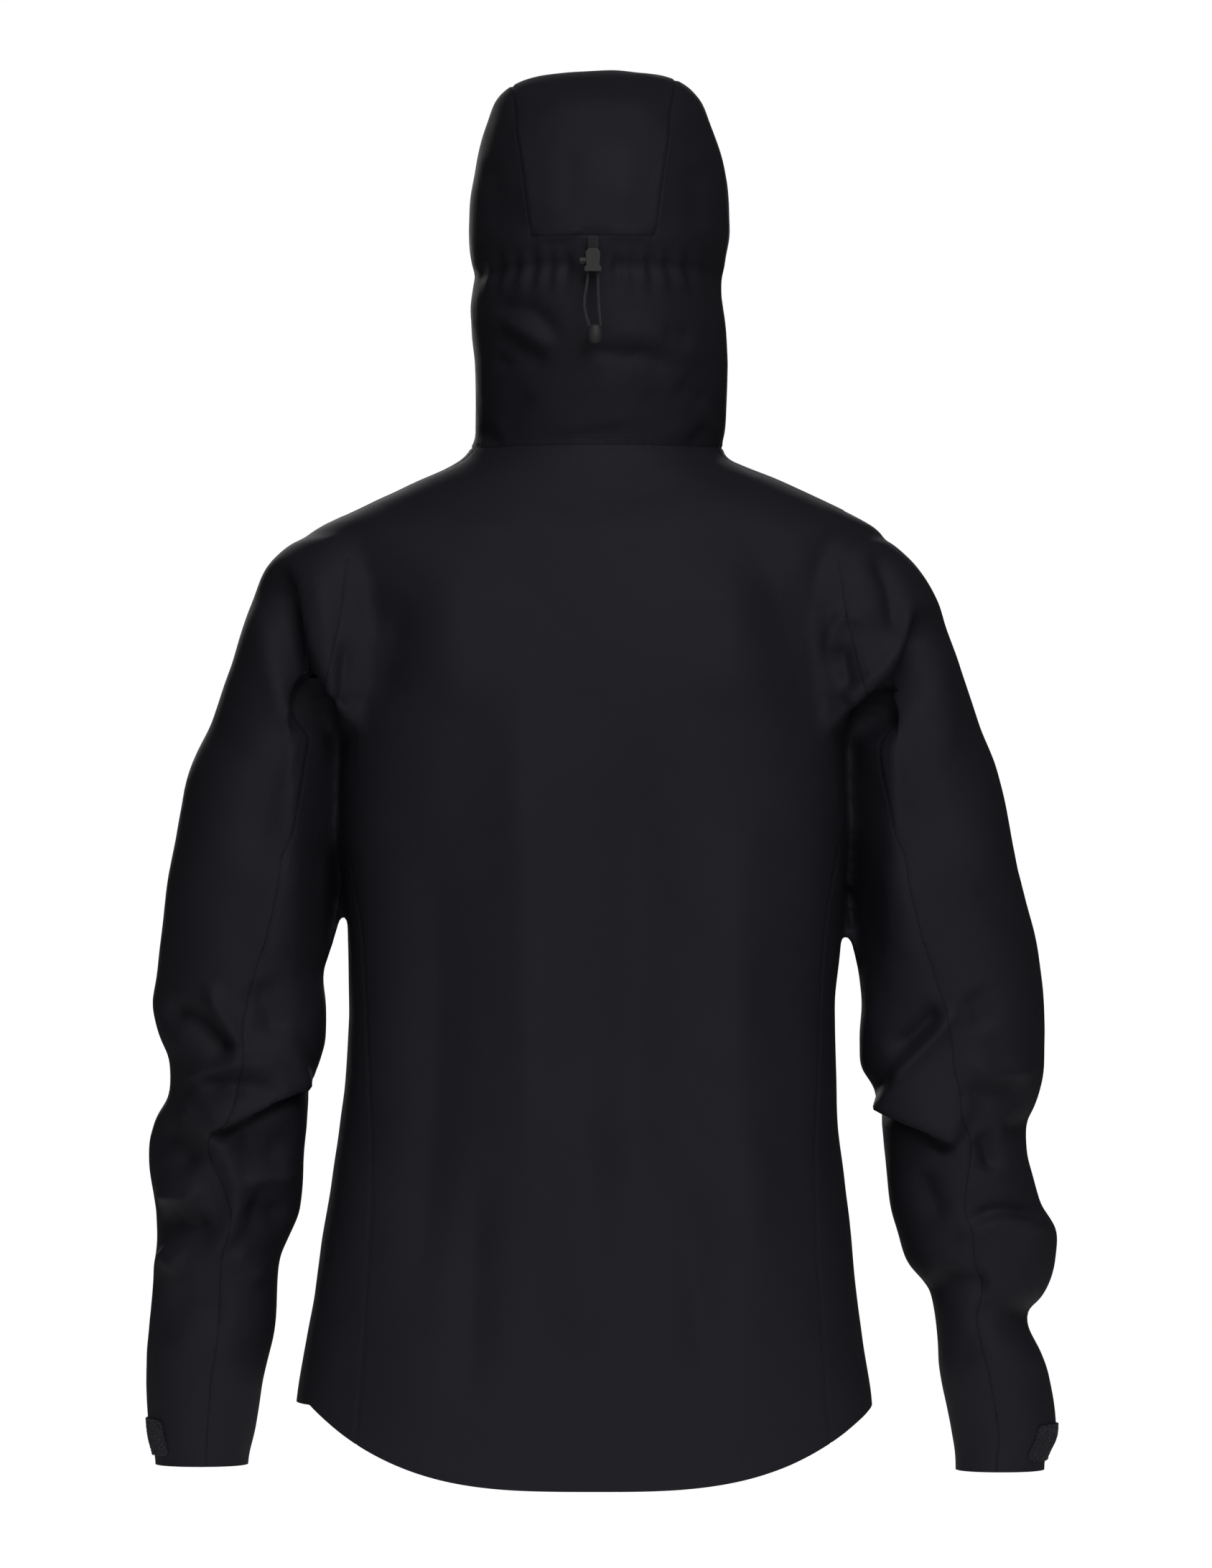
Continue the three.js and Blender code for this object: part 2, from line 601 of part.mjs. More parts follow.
const face = faceOpening(0);
const hoodPanels = cut(hoodShell, face, collarRegion(-SEAM / 2));
add('hood_crown_panel', hoodPanels.intersect(crownWedge(SEAM / 2)), shellFabric);
add('hood_wrap_panel', cut(hoodPanels, crownWedge(-SEAM / 2)), shellFabric);

const hoodLiner = cut(hood(-WALL - GAP, 0), hood(-WALL - GAP - FACING, 30));
const aboveCollar = block(-FAR, FAR, -FAR, FAR, COLLAR_TOP + 2, FAR * 2);
const faceEdge = cut(hoodLiner.intersect(faceOpening(EDGE_WIDTH)), face);
add('face_edge_tunnel', faceEdge.intersect(aboveCollar), liningFabric);

const channelFoot = NECK_HEIGHT + CREASE_RISE - CHANNEL_DROP;
const channelBox = block(-FAR, FAR, -FAR, FAR, channelFoot, channelFoot + CHANNEL_HEIGHT);
const channelBand = hoodLiner.intersect(channelBox);
add('hood_cord_channel', cut(channelBand, faceOpening(EDGE_WIDTH + GAP)), liningFabric);

// The brim: a crescent plate that lies on the hood above the face opening and dips towards its tip.
function brim() {
  const [steps, dip] = [14, 0.2];
  const front = -HOOD_FRONT - BRIM_REACH + 10;
  const outer = [...Array(steps + 1).keys()].map((i) => {
    const angle = Math.PI * (1 + i / steps);
    return [BRIM_HALF * Math.cos(angle), -60 + (front + 60) * -Math.sin(angle)];
  });
  const shape = new THREE.Shape(outer.map(([x, y]) => new THREE.Vector2(x, y)));
  const plate = new THREE.ExtrudeGeometry(shape, { depth: BRIM_THICK, bevelEnabled: false });
  plate.applyMatrix4(new THREE.Matrix4().makeRotationX(dip));
  plate.translate(0, 0, NECK_HEIGHT + FACE_TOP_RISE + BRIM_RISE);
  return cut(solid(plate), hood(GAP, 0));
}
add('hood_brim', brim(), shellFabric);

// ---- Hood cord lock ----

const tabY = smooth(HOOD_KEYS.back, CREASE_RISE - 1) + GAP; // the tab's inner face, on the hood
const lockY = tabY + LOCK_TAB_THICK / 2 + 1.5;

add(
  'hood_lock_tab',
  block(-LOCK_TAB_HALF, LOCK_TAB_HALF, tabY, tabY + LOCK_TAB_THICK, LOCK_TOP + GAP, TAB_TOP),
  webbing
);

// The lock's body widens to a rim at its foot and has a bore in its side for the button.
function lockBody() {
  const [waist, rim] = [LOCK_HALF - 1.4, 3.2];
  const half = [
    [LOCK_HALF, LOCK_FOOT],
    [LOCK_HALF, LOCK_FOOT + rim],
    [waist, LOCK_FOOT + rim + 1.4],
    [waist + 0.6, LOCK_TOP - 3],
    [waist - 1.5, LOCK_TOP],
  ];
  const other = half.map(([x, z]) => [-x, z]).reverse();
  const front = lockY - LOCK_FRONT;
  const whole = outlineXZ([...half, ...other], front, front + LOCK_DEPTH);
  return cut(whole, buttonAt(BUTTON_RADIUS + BUTTON_ROOM, -2, 40));
}
function buttonAt(radius, x0, x1) {
  const across = new THREE.Matrix4().makeRotationY(Math.PI / 2);
  across.setPosition(0, lockY - LOCK_FRONT + LOCK_DEPTH / 2, BUTTON_Z);
  return rod(radius, x0, x1, 16, across);
}
add('hood_lock_body', lockBody(), moulded);
add('hood_lock_button', buttonAt(BUTTON_RADIUS, 1.6, 9.6), moulded);

// The cord leaves the lock's foot, runs through its end piece and comes back up.
const cordY = lockY + 0.6;
const cordPoints = [
  [CORD_SPREAD, cordY, LOCK_FOOT - GAP],
  [CORD_SPREAD + 0.3, cordY, LOCK_FOOT - 6],
  [CORD_SPREAD + 1.6, cordY, LOCK_FOOT - 14],
  [CORD_SPREAD + 2.6, cordY, LOCK_FOOT - 23],
  [CORD_SPREAD + 1.4, cordY, LOCK_FOOT - 32],
  [CORD_SPREAD - 0.9, cordY, LOCK_FOOT - 39],
  [CORD_SPREAD - 1.4, cordY, LOCK_FOOT - 43],
  [CORD_SPREAD - 2.4, cordY, LOCK_FOOT - 46.4],
  [END_X, cordY, LOCK_FOOT - 48.2],
  [-CORD_SPREAD - 1.1, cordY, LOCK_FOOT - 46.4],
  [-CORD_SPREAD - 1.8, cordY, LOCK_FOOT - 43],
  [-CORD_SPREAD - 1.6, cordY, LOCK_FOOT - 38],
  [-CORD_SPREAD - 0.8, cordY, LOCK_FOOT - 29],
  [-CORD_SPREAD - 0.2, cordY, LOCK_FOOT - 18],
  [-CORD_SPREAD, cordY, LOCK_FOOT - 8],
  [-CORD_SPREAD, cordY, LOCK_FOOT - GAP],
].map(([x, y, z]) => new THREE.Vector3(x, y, z));

function cordTube(radius) {
  const route = new THREE.CatmullRomCurve3(cordPoints, false, 'centripetal');
  const [sides, steps] = [8, 30];
  const section = new THREE.Shape(
    [...Array(sides).keys()].map((i) => {
      const angle = (i / sides) * 2 * Math.PI;
      return new THREE.Vector2(radius * Math.cos(angle), radius * Math.sin(angle));
    })
  );
  return solid(new THREE.ExtrudeGeometry(section, { steps, extrudePath: route, bevelEnabled: false }));
}
add('hood_cord', cordTube(CORD_RADIUS), webbing);

const endProfile = [
  [0, 0], [3.4, 0], [5.2, 1.6], [END_RADIUS, 5.2],
  [END_RADIUS, 9], [5, 13], [3.6, END_HEIGHT], [0, END_HEIGHT],
];
const endPlace = new THREE.Matrix4().makeTranslation(END_X, cordY, END_TOP - END_HEIGHT);
const endPiece = turned(endProfile, 14, endPlace);
add('hood_cord_end', cut(endPiece, cordTube(CORD_RADIUS + GAP)), moulded);

// ---- Sleeves and cuffs ----

for (const side of ['left', 'right']) {
  const s = SIDES[side];
  const foot = cuffFoot(side);
  const tube = cut(sleeve(side, 0), sleeve(side, -WALL, 30), bodyClear);
  const level = (z0, z1) => block(-FAR, FAR, -FAR, FAR, z0, z1);
  const upper = tube.intersect(level(ELBOW_HEIGHT + SEAM / 2, FAR * 2));
  const lower = tube.intersect(level(foot + CUFF_HEIGHT + SEAM / 2, ELBOW_HEIGHT - SEAM / 2));
  const outer = (part) => cut(part, sleeveUnderside(side, SEAM / 2));
  const under = (part) => part.intersect(sleeveUnderside(side, -SEAM / 2));
  add(`upper_sleeve_outer_${side}`, outer(upper), shellFabric);
  add(`upper_sleeve_under_${side}`, under(upper), shellFabric);
  add(`forearm_outer_${side}`, outer(lower), shellFabric);
  add(`forearm_under_${side}`, under(lower), shellFabric);
  add(`cuff_band_${side}`, tube.intersect(level(0, foot + CUFF_HEIGHT - SEAM / 2)), shellFabric);

  // On the cuff: the loop patch round the outer edge, and in front of it the tab with its hook patch.
  const [, cuffGap, cuffWidth] = SLEEVES[side].at(-1);
  const centreX = s * (flankAt(foot) + cuffGap + cuffWidth / 2);
  const layer = (from, thick) => cut(sleeve(side, from + thick, 0), sleeve(side, from, 30));
  const strip = (x0, x1, y0, y1, tall) => {
    const [a, b] = s > 0 ? [centreX + x0, centreX + x1] : [centreX - x1, centreX - x0];
    const middle = foot + CUFF_HEIGHT / 2;
    return block(a, b, y0, y1, middle - tall / 2, middle + tall / 2);
  };
  const hookDepth = GAP * 2 + LOOP_PATCH_THICK;
  const tabDepth = hookDepth + HOOK_PATCH_THICK + GAP;
  const patch = layer(GAP, LOOP_PATCH_THICK).intersect(strip(-6, FAR, -FAR, 6, LOOP_PATCH_TALL));
  add(`cuff_loop_patch_${side}`, patch, pile);
  const hook = layer(hookDepth, HOOK_PATCH_THICK).intersect(strip(2, 24, -FAR, -50, HOOK_PATCH_TALL));
  add(`cuff_hook_patch_${side}`, hook, pile);
  const tab = layer(tabDepth, CUFF_TAB_THICK).intersect(strip(-26, 28, -FAR, -50, CUFF_TAB_TALL));
  add(`cuff_tab_${side}`, tab, shellFabric);
}

// ---- Zips ----

// The slider on a chain: front and rear plates joined through the slit, and a hook that holds the pull.
// Local axes: x across the chain, y along it towards the closed end, z out of the fabric.
function slider(frame) {
  const rear = -WALL - GAP - TAPE_THICK - GAP;
  const half = SLIDER_LENGTH / 2;
  const hookEnd = HOOK_TOP + PULL_SWING_ROOM;
  const neck = CHAIN_SLIT_HALF - GAP;
  return join(
    block(-SLIDER_HALF, SLIDER_HALF, -half, half, 0, SLIDER_PLATE, frame),
    block(-neck, neck, -half + 2, half - 2, rear - 0.5, 0.5, frame),
    block(-SLIDER_HALF + 0.4, SLIDER_HALF - 0.4, -half + 1, half - 1, rear - REAR_PLATE, rear, frame),
    block(-HOOK_HALF, HOOK_HALF, 0, 5, SLIDER_PLATE - GAP, HOOK_TOP, frame),
    block(-HOOK_HALF, HOOK_HALF, 4.5, 8.6, hookEnd - 1, hookEnd, frame),
    block(-HOOK_HALF, HOOK_HALF, 3, 5, 5, hookEnd, frame)
  );
}

// The pull: a plate with an eye round the slider's hook. It swings on its top bar.
function pull(frame) {
  const eye = block(-HOOK_HALF - GAP, HOOK_HALF + GAP, -0.6, 5.3, 0, 9, frame);
  return cut(block(-PULL_HALF, PULL_HALF, -PULL_LENGTH, 7.5, 3, 4.2, frame), eye);
}

// A chain with both tapes in one piece, joined at its two ends.
function closedChain(length, frame) {
  const [tapeTop, chainTop] = [-WALL - GAP, -GAP];
  const tape = block(-TAPE_HALF, TAPE_HALF, 0, length, tapeTop - TAPE_THICK, tapeTop, frame);
  const slit = block(-CHAIN_SLIT_HALF, CHAIN_SLIT_HALF, 4, length - 4, -20, 20, frame);
  const chain = block(-CHAIN_HALF, CHAIN_HALF, 1, length - 1, tapeTop - TAPE_THICK, chainTop, frame);
  const fabric = cut(body(6), body(-WALL - GAP));
  return cut(join(cut(tape, fabric), chain), slit);
}

for (const side of ['left', 'right']) {
  const frame = pocketFrames[side];
  add(`pocket_zip_${side}`, closedChain(POCKET_ZIP_LENGTH, frame), tapeFabric);
  const closed = new THREE.Matrix4().makeTranslation(0, POCKET_ZIP_LENGTH - POCKET_STEP, 0);
  const top = frame.clone().multiply(closed);
  add(`pocket_slider_${side}`, slider(top), zinc);
  add(`pocket_pull_${side}`, pull(top), moulded);

  const s = SIDES[side];
  const [x0, x1] = s > 0 ? [32, POCKET_ZIP_X + 26] : [-POCKET_ZIP_X - 26, -32];
  const bagBox = block(x0, x1, -FAR, -40, POCKET_ZIP_FOOT - 90, POCKET_ZIP_FOOT + POCKET_ZIP_LENGTH + 8);
  const rear = WALL + GAP + TAPE_THICK + GAP + REAR_PLATE + GAP;
  const zipRoom = block(-TAPE_HALF - GAP, TAPE_HALF + GAP, -GAP, POCKET_ZIP_LENGTH + GAP, -rear, 20, frame);
  const bag = bodyLiner(WALL + GAP, POCKET_DEPTH).intersect(bagBox);
  add(`pocket_bag_${side}`, cut(bag, zipRoom), liningFabric);
}

// The main zip follows the straight front edge, from the hem to the top of the collar.
const leanAngle = Math.atan(FRONT_LEAN);
const mainFrame = new THREE.Matrix4().makeBasis(
  new THREE.Vector3(1, 0, 0),
  new THREE.Vector3(0, Math.sin(leanAngle), Math.cos(leanAngle)),
  new THREE.Vector3(0, -Math.cos(leanAngle), Math.sin(leanAngle))
);
mainFrame.setPosition(0, frontAt(SIDE_HEM_RISE), SIDE_HEM_RISE);
const mainLength = (COLLAR_TOP - 3 - SIDE_HEM_RISE) / Math.cos(leanAngle);
const tapeTop = -WALL - GAP;
for (const [side, s] of Object.entries(SIDES)) {
  const [a, b] = [CHAIN_SLIT_HALF, TAPE_HALF];
  const [x0, x1, c1] = s > 0 ? [a, b, CHAIN_HALF] : [-b, -a, -CHAIN_HALF];
  const fabric = join(
    cut(body(6), body(-WALL - GAP, 1)),
    cut(hood(6), hood(-WALL - GAP, 30)).intersect(block(-FAR, FAR, -FAR, 0, NECK_HEIGHT - 1, FAR * 2))
  );
  const tape = cut(block(x0, x1, 1, mainLength, tapeTop - TAPE_THICK, tapeTop, mainFrame), fabric);
  const [k0, k1] = s > 0 ? [a, c1] : [c1, -a];
  const chain = block(k0, k1, BOX_LENGTH + 1.5, mainLength - 1, tapeTop - TAPE_THICK, -GAP, mainFrame);
  add(`main_zip_${side}`, join(tape, chain), tapeFabric);
}
const boxPiece = block(-SLIDER_HALF, SLIDER_HALF, 1, BOX_LENGTH, tapeTop + GAP, 1.6, mainFrame);
add('main_zip_box', boxPiece, moulded);
const mainTop = mainFrame.clone().multiply(new THREE.Matrix4().makeTranslation(0, mainLength - 12, 0));
add('main_zip_slider', slider(mainTop), zinc);
add('main_zip_pull', pull(mainTop), moulded);

// The storm flap lies behind the chain and is sewn down on the wearer's left.
const flapHigh = NECK_HEIGHT - 4;
const flapFoot = SIDE_HEM_RISE + TUNNEL_HEIGHT + 4;
const flapSheet = cut(body(-BEHIND_SLIDER), body(-BEHIND_SLIDER - FACING, 40));
const flapSewn = cut(body(-WALL - GAP * 2 - TAPE_THICK), body(-BEHIND_SLIDER - SHEET_LAP, 40));
add(
  'storm_flap',
  join(
    flapSheet.intersect(block(-FLAP_IN, FLAP_OUT, -FAR, -40, flapFoot, flapHigh)),
    flapSewn.intersect(block(TAPE_HALF - 3, FLAP_OUT, -FAR, -40, flapFoot, flapHigh))
  ),
  liningFabric
);

// ---- Hem cord locks ----

for (const side of ['left', 'right']) {
  const s = SIDES[side];
  const z = SIDE_HEM_RISE + HEM_LOCK_RISE;
  const place = frontPoint(s * HEM_LOCK_X, z);
  const middle = (frontAt(z) + backAt(z)) / 2;
  const deep = (backAt(z) - frontAt(z)) / 2;
  const share = HEM_LOCK_X / flankAt(z);
  const slope = (deep / flankAt(z)) * (share / ((middle - place.y) / deep)) ** (bodyPower(z) - 1);
  const out = new THREE.Vector3(s * slope, -1, 0).normalize();
  const across = new THREE.Vector3(0, 0, 1).cross(out);
  const frame = new THREE.Matrix4().makeBasis(across, new THREE.Vector3(0, 0, 1), out);
  frame.setPosition(place);
  const buttonRadius = BUTTON_RADIUS + 1;
  const bore = rod(buttonRadius + BUTTON_ROOM, 2.2, 20, 18, frame);
  const shellBlock = block(-8, 8, -10, 10, -3, 6, frame);
  add(`hem_lock_${side}`, cut(shellBlock, bodyClear, bore), moulded);
  add(`hem_lock_button_${side}`, rod(buttonRadius, 4.8, 8.4, 18, frame), moulded);
}

// ---- The finished jacket ----

jacket.position.set(0, -(loopInside + LOOP_THICK / 2), -LOOP_Z);
const finished = new THREE.Group();
finished.add(jacket);

export default finished;
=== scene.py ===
"""A hardshell jacket, zipped up and filled as if worn, hung by its loop: cords, fabric, zips and trims."""
import json
import math

import bpy
import numpy as np
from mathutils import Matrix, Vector
from mathutils.kdtree import KDTree

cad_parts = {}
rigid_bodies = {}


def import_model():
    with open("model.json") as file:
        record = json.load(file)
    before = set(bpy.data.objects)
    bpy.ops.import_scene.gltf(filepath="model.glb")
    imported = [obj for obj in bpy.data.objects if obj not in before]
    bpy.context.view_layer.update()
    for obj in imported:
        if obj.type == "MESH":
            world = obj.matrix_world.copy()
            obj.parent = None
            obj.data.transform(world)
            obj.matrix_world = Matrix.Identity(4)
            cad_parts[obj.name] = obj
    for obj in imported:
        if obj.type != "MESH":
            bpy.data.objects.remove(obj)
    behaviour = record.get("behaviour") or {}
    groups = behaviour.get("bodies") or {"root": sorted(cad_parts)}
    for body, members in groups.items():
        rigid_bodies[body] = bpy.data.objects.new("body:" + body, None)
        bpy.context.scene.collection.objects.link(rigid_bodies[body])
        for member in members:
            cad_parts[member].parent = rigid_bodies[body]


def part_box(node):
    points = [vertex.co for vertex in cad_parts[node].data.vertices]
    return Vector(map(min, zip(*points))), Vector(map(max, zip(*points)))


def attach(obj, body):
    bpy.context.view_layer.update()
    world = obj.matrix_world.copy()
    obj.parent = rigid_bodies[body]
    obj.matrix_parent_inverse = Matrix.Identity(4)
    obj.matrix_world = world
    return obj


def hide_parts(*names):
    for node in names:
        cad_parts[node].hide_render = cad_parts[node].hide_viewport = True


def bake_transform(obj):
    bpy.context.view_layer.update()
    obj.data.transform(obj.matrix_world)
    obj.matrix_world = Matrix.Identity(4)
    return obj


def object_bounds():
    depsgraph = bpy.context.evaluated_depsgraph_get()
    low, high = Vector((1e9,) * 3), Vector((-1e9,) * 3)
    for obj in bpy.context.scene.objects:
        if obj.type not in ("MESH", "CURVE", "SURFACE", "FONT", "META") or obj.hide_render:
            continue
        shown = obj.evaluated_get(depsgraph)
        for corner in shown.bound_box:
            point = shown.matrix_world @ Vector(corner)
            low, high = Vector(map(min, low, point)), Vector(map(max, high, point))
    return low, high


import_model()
cad_box = [list(corner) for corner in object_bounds()]

# Shapes below are worked out in millimetres from the hem's lowest point, +X the wearer's left, -Y the front.
# The frame's origin is the hang loop's seat.
HEM_TO_ORIGIN = np.array([0.0, 66.2, 769.0])
MM = 0.001


def to_row(points):
    """Millimetres from the hem's lowest point to metres in the frame."""
    return (np.asarray(points, float) - HEM_TO_ORIGIN) * MM


# ---- Camera ----

VIEW_HEIGHT = 1.1575  # what the picture takes in at the jacket, top to bottom
CAMERA_DISTANCE = 9.0
SENSOR = 36.0
AIM = Vector((-0.0095, -0.04, -0.2523))


def make_camera():
    data = bpy.data.cameras.new("camera")
    data.sensor_width = SENSOR
    data.lens = SENSOR * CAMERA_DISTANCE / VIEW_HEIGHT
    data.dof.use_dof = False
    camera = bpy.data.objects.new("camera", data)
    bpy.context.scene.collection.objects.link(camera)
    camera.location = AIM + Vector((0, CAMERA_DISTANCE, 0))
    camera.rotation_euler = (math.radians(90), 0, math.radians(180))
    bpy.context.scene.camera = camera


make_camera()

# ---- Materials ----


def new_material(name, color, roughness, metallic=0.0, specular=0.5, sheen=0.0, coat=0.0):
    """A principled material with its constants on the shader's own sockets."""
    material = bpy.data.materials.new(name)
    material.use_nodes = True
    shader = material.node_tree.nodes["Principled BSDF"]
    shader.inputs["Base Color"].default_value = (*color, 1)
    shader.inputs["Roughness"].default_value = roughness
    shader.inputs["Metallic"].default_value = metallic
    shader.inputs["Specular IOR Level"].default_value = specular
    shader.inputs["Sheen Weight"].default_value = sheen
    shader.inputs["Sheen Roughness"].default_value = 0.45
    shader.inputs["Coat Weight"].default_value = coat
    material.diffuse_color = (*color, 1)
    return material, material.node_tree, shader


def node(tree, kind, **settings):
    made = tree.nodes.new(kind)
    for key, value in settings.items():
        if key in made.inputs:
            made.inputs[key].default_value = value
        else:
            setattr(made, key, value)
    return made


def math_node(tree, operation, a, b=None, clamp=False):
    made = tree.nodes.new("ShaderNodeMath")
    made.operation = operation
    made.use_clamp = clamp
    for i, value in enumerate((a, b)):
        if value is None:
            continue
        if isinstance(value, (int, float)):
            made.inputs[i].default_value = value
        else:
            tree.links.new(value, made.inputs[i])
    return made.outputs[0]


def bump(tree, shader, height, strength, distance):
    made = node(tree, "ShaderNodeBump", Strength=strength, Distance=distance)
    tree.links.new(height, made.inputs["Height"])
    tree.links.new(made.outputs["Normal"], shader.inputs["Normal"])


def mottled(tree, shader, dark, light, low, high, scale):
    """Slow drifts of colour and roughness over a surface."""
    place = node(tree, "ShaderNodeTexCoord").outputs["Object"]
    drift = node(tree, "ShaderNodeTexNoise", Scale=scale, Detail=4.0, Roughness=0.55)
    tree.links.new(place, drift.inputs["Vector"])
    blend = node(tree, "ShaderNodeMix", data_type="RGBA")
    blend.inputs["A"].default_value = (*dark, 1)
    blend.inputs["B"].default_value = (*light, 1)
    tree.links.new(drift.outputs["Fac"], blend.inputs["Factor"])
    tree.links.new(blend.outputs["Result"], shader.inputs["Base Color"])
    rough = node(tree, "ShaderNodeMapRange")
    rough.inputs["To Min"].default_value = low
    rough.inputs["To Max"].default_value = high
    tree.links.new(drift.outputs["Fac"], rough.inputs["Value"])
    tree.links.new(rough.outputs["Result"], shader.inputs["Roughness"])
    return place


def weave_height(tree, place, pitch):
    """A plain weave: warp and weft ridges of some pitch, in metres, broken up by a fine grain."""
    wave_scale = 2 * math.pi / (20 * pitch)
    heights = []
    for axis in ("X", "Y", "Z"):
        wave = node(tree, "ShaderNodeTexWave", wave_type="BANDS", bands_direction=axis)
        wave.inputs["Scale"].default_value = wave_scale
        wave.inputs["Distortion"].default_value = 0.6
        wave.inputs["Detail"].default_value = 1.0
        tree.links.new(place, wave.inputs["Vector"])
        heights.append(wave.outputs["Fac"])
    woven = math_node(tree, "MULTIPLY", math_node(tree, "ADD", heights[0], heights[1]), heights[2])
    grain = node(tree, "ShaderNodeTexNoise", Scale=0.9 / pitch, Detail=3.0)
    tree.links.new(place, grain.inputs["Vector"])
    return math_node(tree, "ADD", woven, grain.outputs["Fac"])


STITCH_FROM_SEAM = 0.0042
STITCH_HALF_WIDTH = 0.0012


def stitch_height(tree):
    """A row of sewing beside each seam, from the piece's own seam distance (metres)."""
    distance = node(tree, "ShaderNodeAttribute", attribute_name="seam").outputs["Fac"]
    row = math_node(tree, "SUBTRACT", distance, STITCH_FROM_SEAM)
    away = math_node(tree, "DIVIDE", math_node(tree, "ABSOLUTE", row), STITCH_HALF_WIDTH)
    return math_node(tree, "SUBTRACT", 1.0, away, True)


def darken_seams(tree, shader):
    """Shade gathers in the join itself, closer than a millimetre to each seam."""
    distance = node(tree, "ShaderNodeAttribute", attribute_name="seam").outputs["Fac"]
    shade = node(tree, "ShaderNodeMapRange")
    shade.inputs["From Max"].default_value = 0.0011
    shade.inputs["To Min"].default_value = 0.5
    tree.links.new(distance, shade.inputs["Value"])
    multiply = node(tree, "ShaderNodeMix", data_type="RGBA", blend_type="MULTIPLY")
    multiply.inputs["Factor"].default_value = 1.0
    tree.links.new(shader.inputs["Base Color"].links[0].from_socket, multiply.inputs["A"])
    tree.links.new(shade.outputs["Result"], multiply.inputs["B"])
    tree.links.new(multiply.outputs["Result"], shader.inputs["Base Color"])


def make_shell_fabric():
    """Matt near-black laminate with a fine face weave and a pressed line beside its seams."""
    material, tree, shader = new_material("shell laminate", (0.0128, 0.0120, 0.0162), 0.7, specular=0.12)
    place = mottled(tree, shader, (0.0112, 0.0104, 0.0144), (0.0146, 0.0136, 0.0186), 0.60, 0.74, 22.0)
    darken_seams(tree, shader)
    woven = math_node(tree, "MULTIPLY", weave_height(tree, place, 0.0006), 0.35)
    height = math_node(tree, "SUBTRACT", woven, stitch_height(tree))
    bump(tree, shader, height, 0.30, 0.0004)
    return material


def make_lining_fabric():
    """A dark grey knitted backer with fine ribs."""
    material, tree, shader = new_material("backer", (0.022, 0.022, 0.026), 0.8, specular=0.3, sheen=0.15)
    place = mottled(tree, shader, (0.018, 0.018, 0.021), (0.028, 0.028, 0.033), 0.72, 0.86, 40.0)
    bump(tree, shader, weave_height(tree, place, 0.0011), 0.4, 0.0003)
    return material


def make_webbing():
    material, tree, shader = new_material("webbing", (0.010, 0.010, 0.012), 0.7, specular=0.4, sheen=0.1)
    place = mottled(tree, shader, (0.008, 0.008, 0.010), (0.014, 0.014, 0.017), 0.6, 0.78, 120.0)
    bump(tree, shader, weave_height(tree, place, 0.0012), 0.8, 0.0004)
    return material


def make_pile():
    """Fuzzy loop pile, with a coarse tangle of loops."""
    material, tree, shader = new_material("loop pile", (0.02, 0.02, 0.022), 0.95, specular=0.1, sheen=0.1)
    place = mottled(tree, shader, (0.008, 0.008, 0.011), (0.034, 0.033, 0.044), 0.85, 1.0, 900.0)
    loops = node(tree, "ShaderNodeTexVoronoi", Scale=620.0)
    tree.links.new(place, loops.inputs["Vector"])
    bump(tree, shader, loops.outputs["Distance"], 1.0, 0.0012)
    return material


def make_cord_braid():
    """Braided elastic cord: crossing ridges that follow its length."""
    grey = (0.012, 0.012, 0.014)
    material, tree, shader = new_material("braided cord", grey, 0.68, specular=0.4, sheen=0.2)
    place = mottled(tree, shader, (0.009, 0.009, 0.010), (0.024, 0.024, 0.028), 0.6, 0.75, 700.0)
    bump(tree, shader, weave_height(tree, place, 0.0007), 1.0, 0.0003)
    return material


def make_moulded(name, color, rough):
    """Moulded plastic with a spark-eroded grain."""
    material, tree, shader = new_material(name, color, rough, specular=0.35)
    lighter = tuple(value * 1.25 for value in color)
    place = mottled(tree, shader, color, lighter, rough - 0.06, rough + 0.08, 160.0)
    grain = node(tree, "ShaderNodeTexNoise", Scale=2600.0, Detail=2.0)
    tree.links.new(place, grain.inputs["Vector"])
    bump(tree, shader, grain.outputs["Fac"], 0.25, 0.0002)
    return material


def make_slider_metal():
    """Black electrophoretic paint on cast zinc, a little worn."""
    finish = dict(metallic=0.6, specular=0.5, coat=0.3)
    material, tree, shader = new_material("painted zinc", (0.02, 0.02, 0.022), 0.38, **finish)
    place = mottled(tree, shader, (0.014, 0.014, 0.016), (0.035, 0.035, 0.038), 0.3, 0.46, 240.0)
    cast = node(tree, "ShaderNodeTexNoise", Scale=1500.0, Detail=2.0)
    tree.links.new(place, cast.inputs["Vector"])
    bump(tree, shader, cast.outputs["Fac"], 0.15, 0.0002)
    return material


SHELL = make_shell_fabric()
LINING = make_lining_fabric()
WEBBING = make_webbing()
PILE = make_pile()
BRAID = make_cord_braid()
PLASTIC = make_moulded("moulded plastic", (0.007, 0.007, 0.008), 0.48)
RUBBER = make_moulded("soft rubber", (0.014, 0.014, 0.016), 0.58)
METAL = make_slider_metal()
TAPE = make_moulded("coated zip tape", (0.009, 0.009, 0.011), 0.50)

# ---- Small tools ----


def smoothstep(value):
    t = np.clip(value, 0, 1)
    return t * t * (3 - 2 * t)


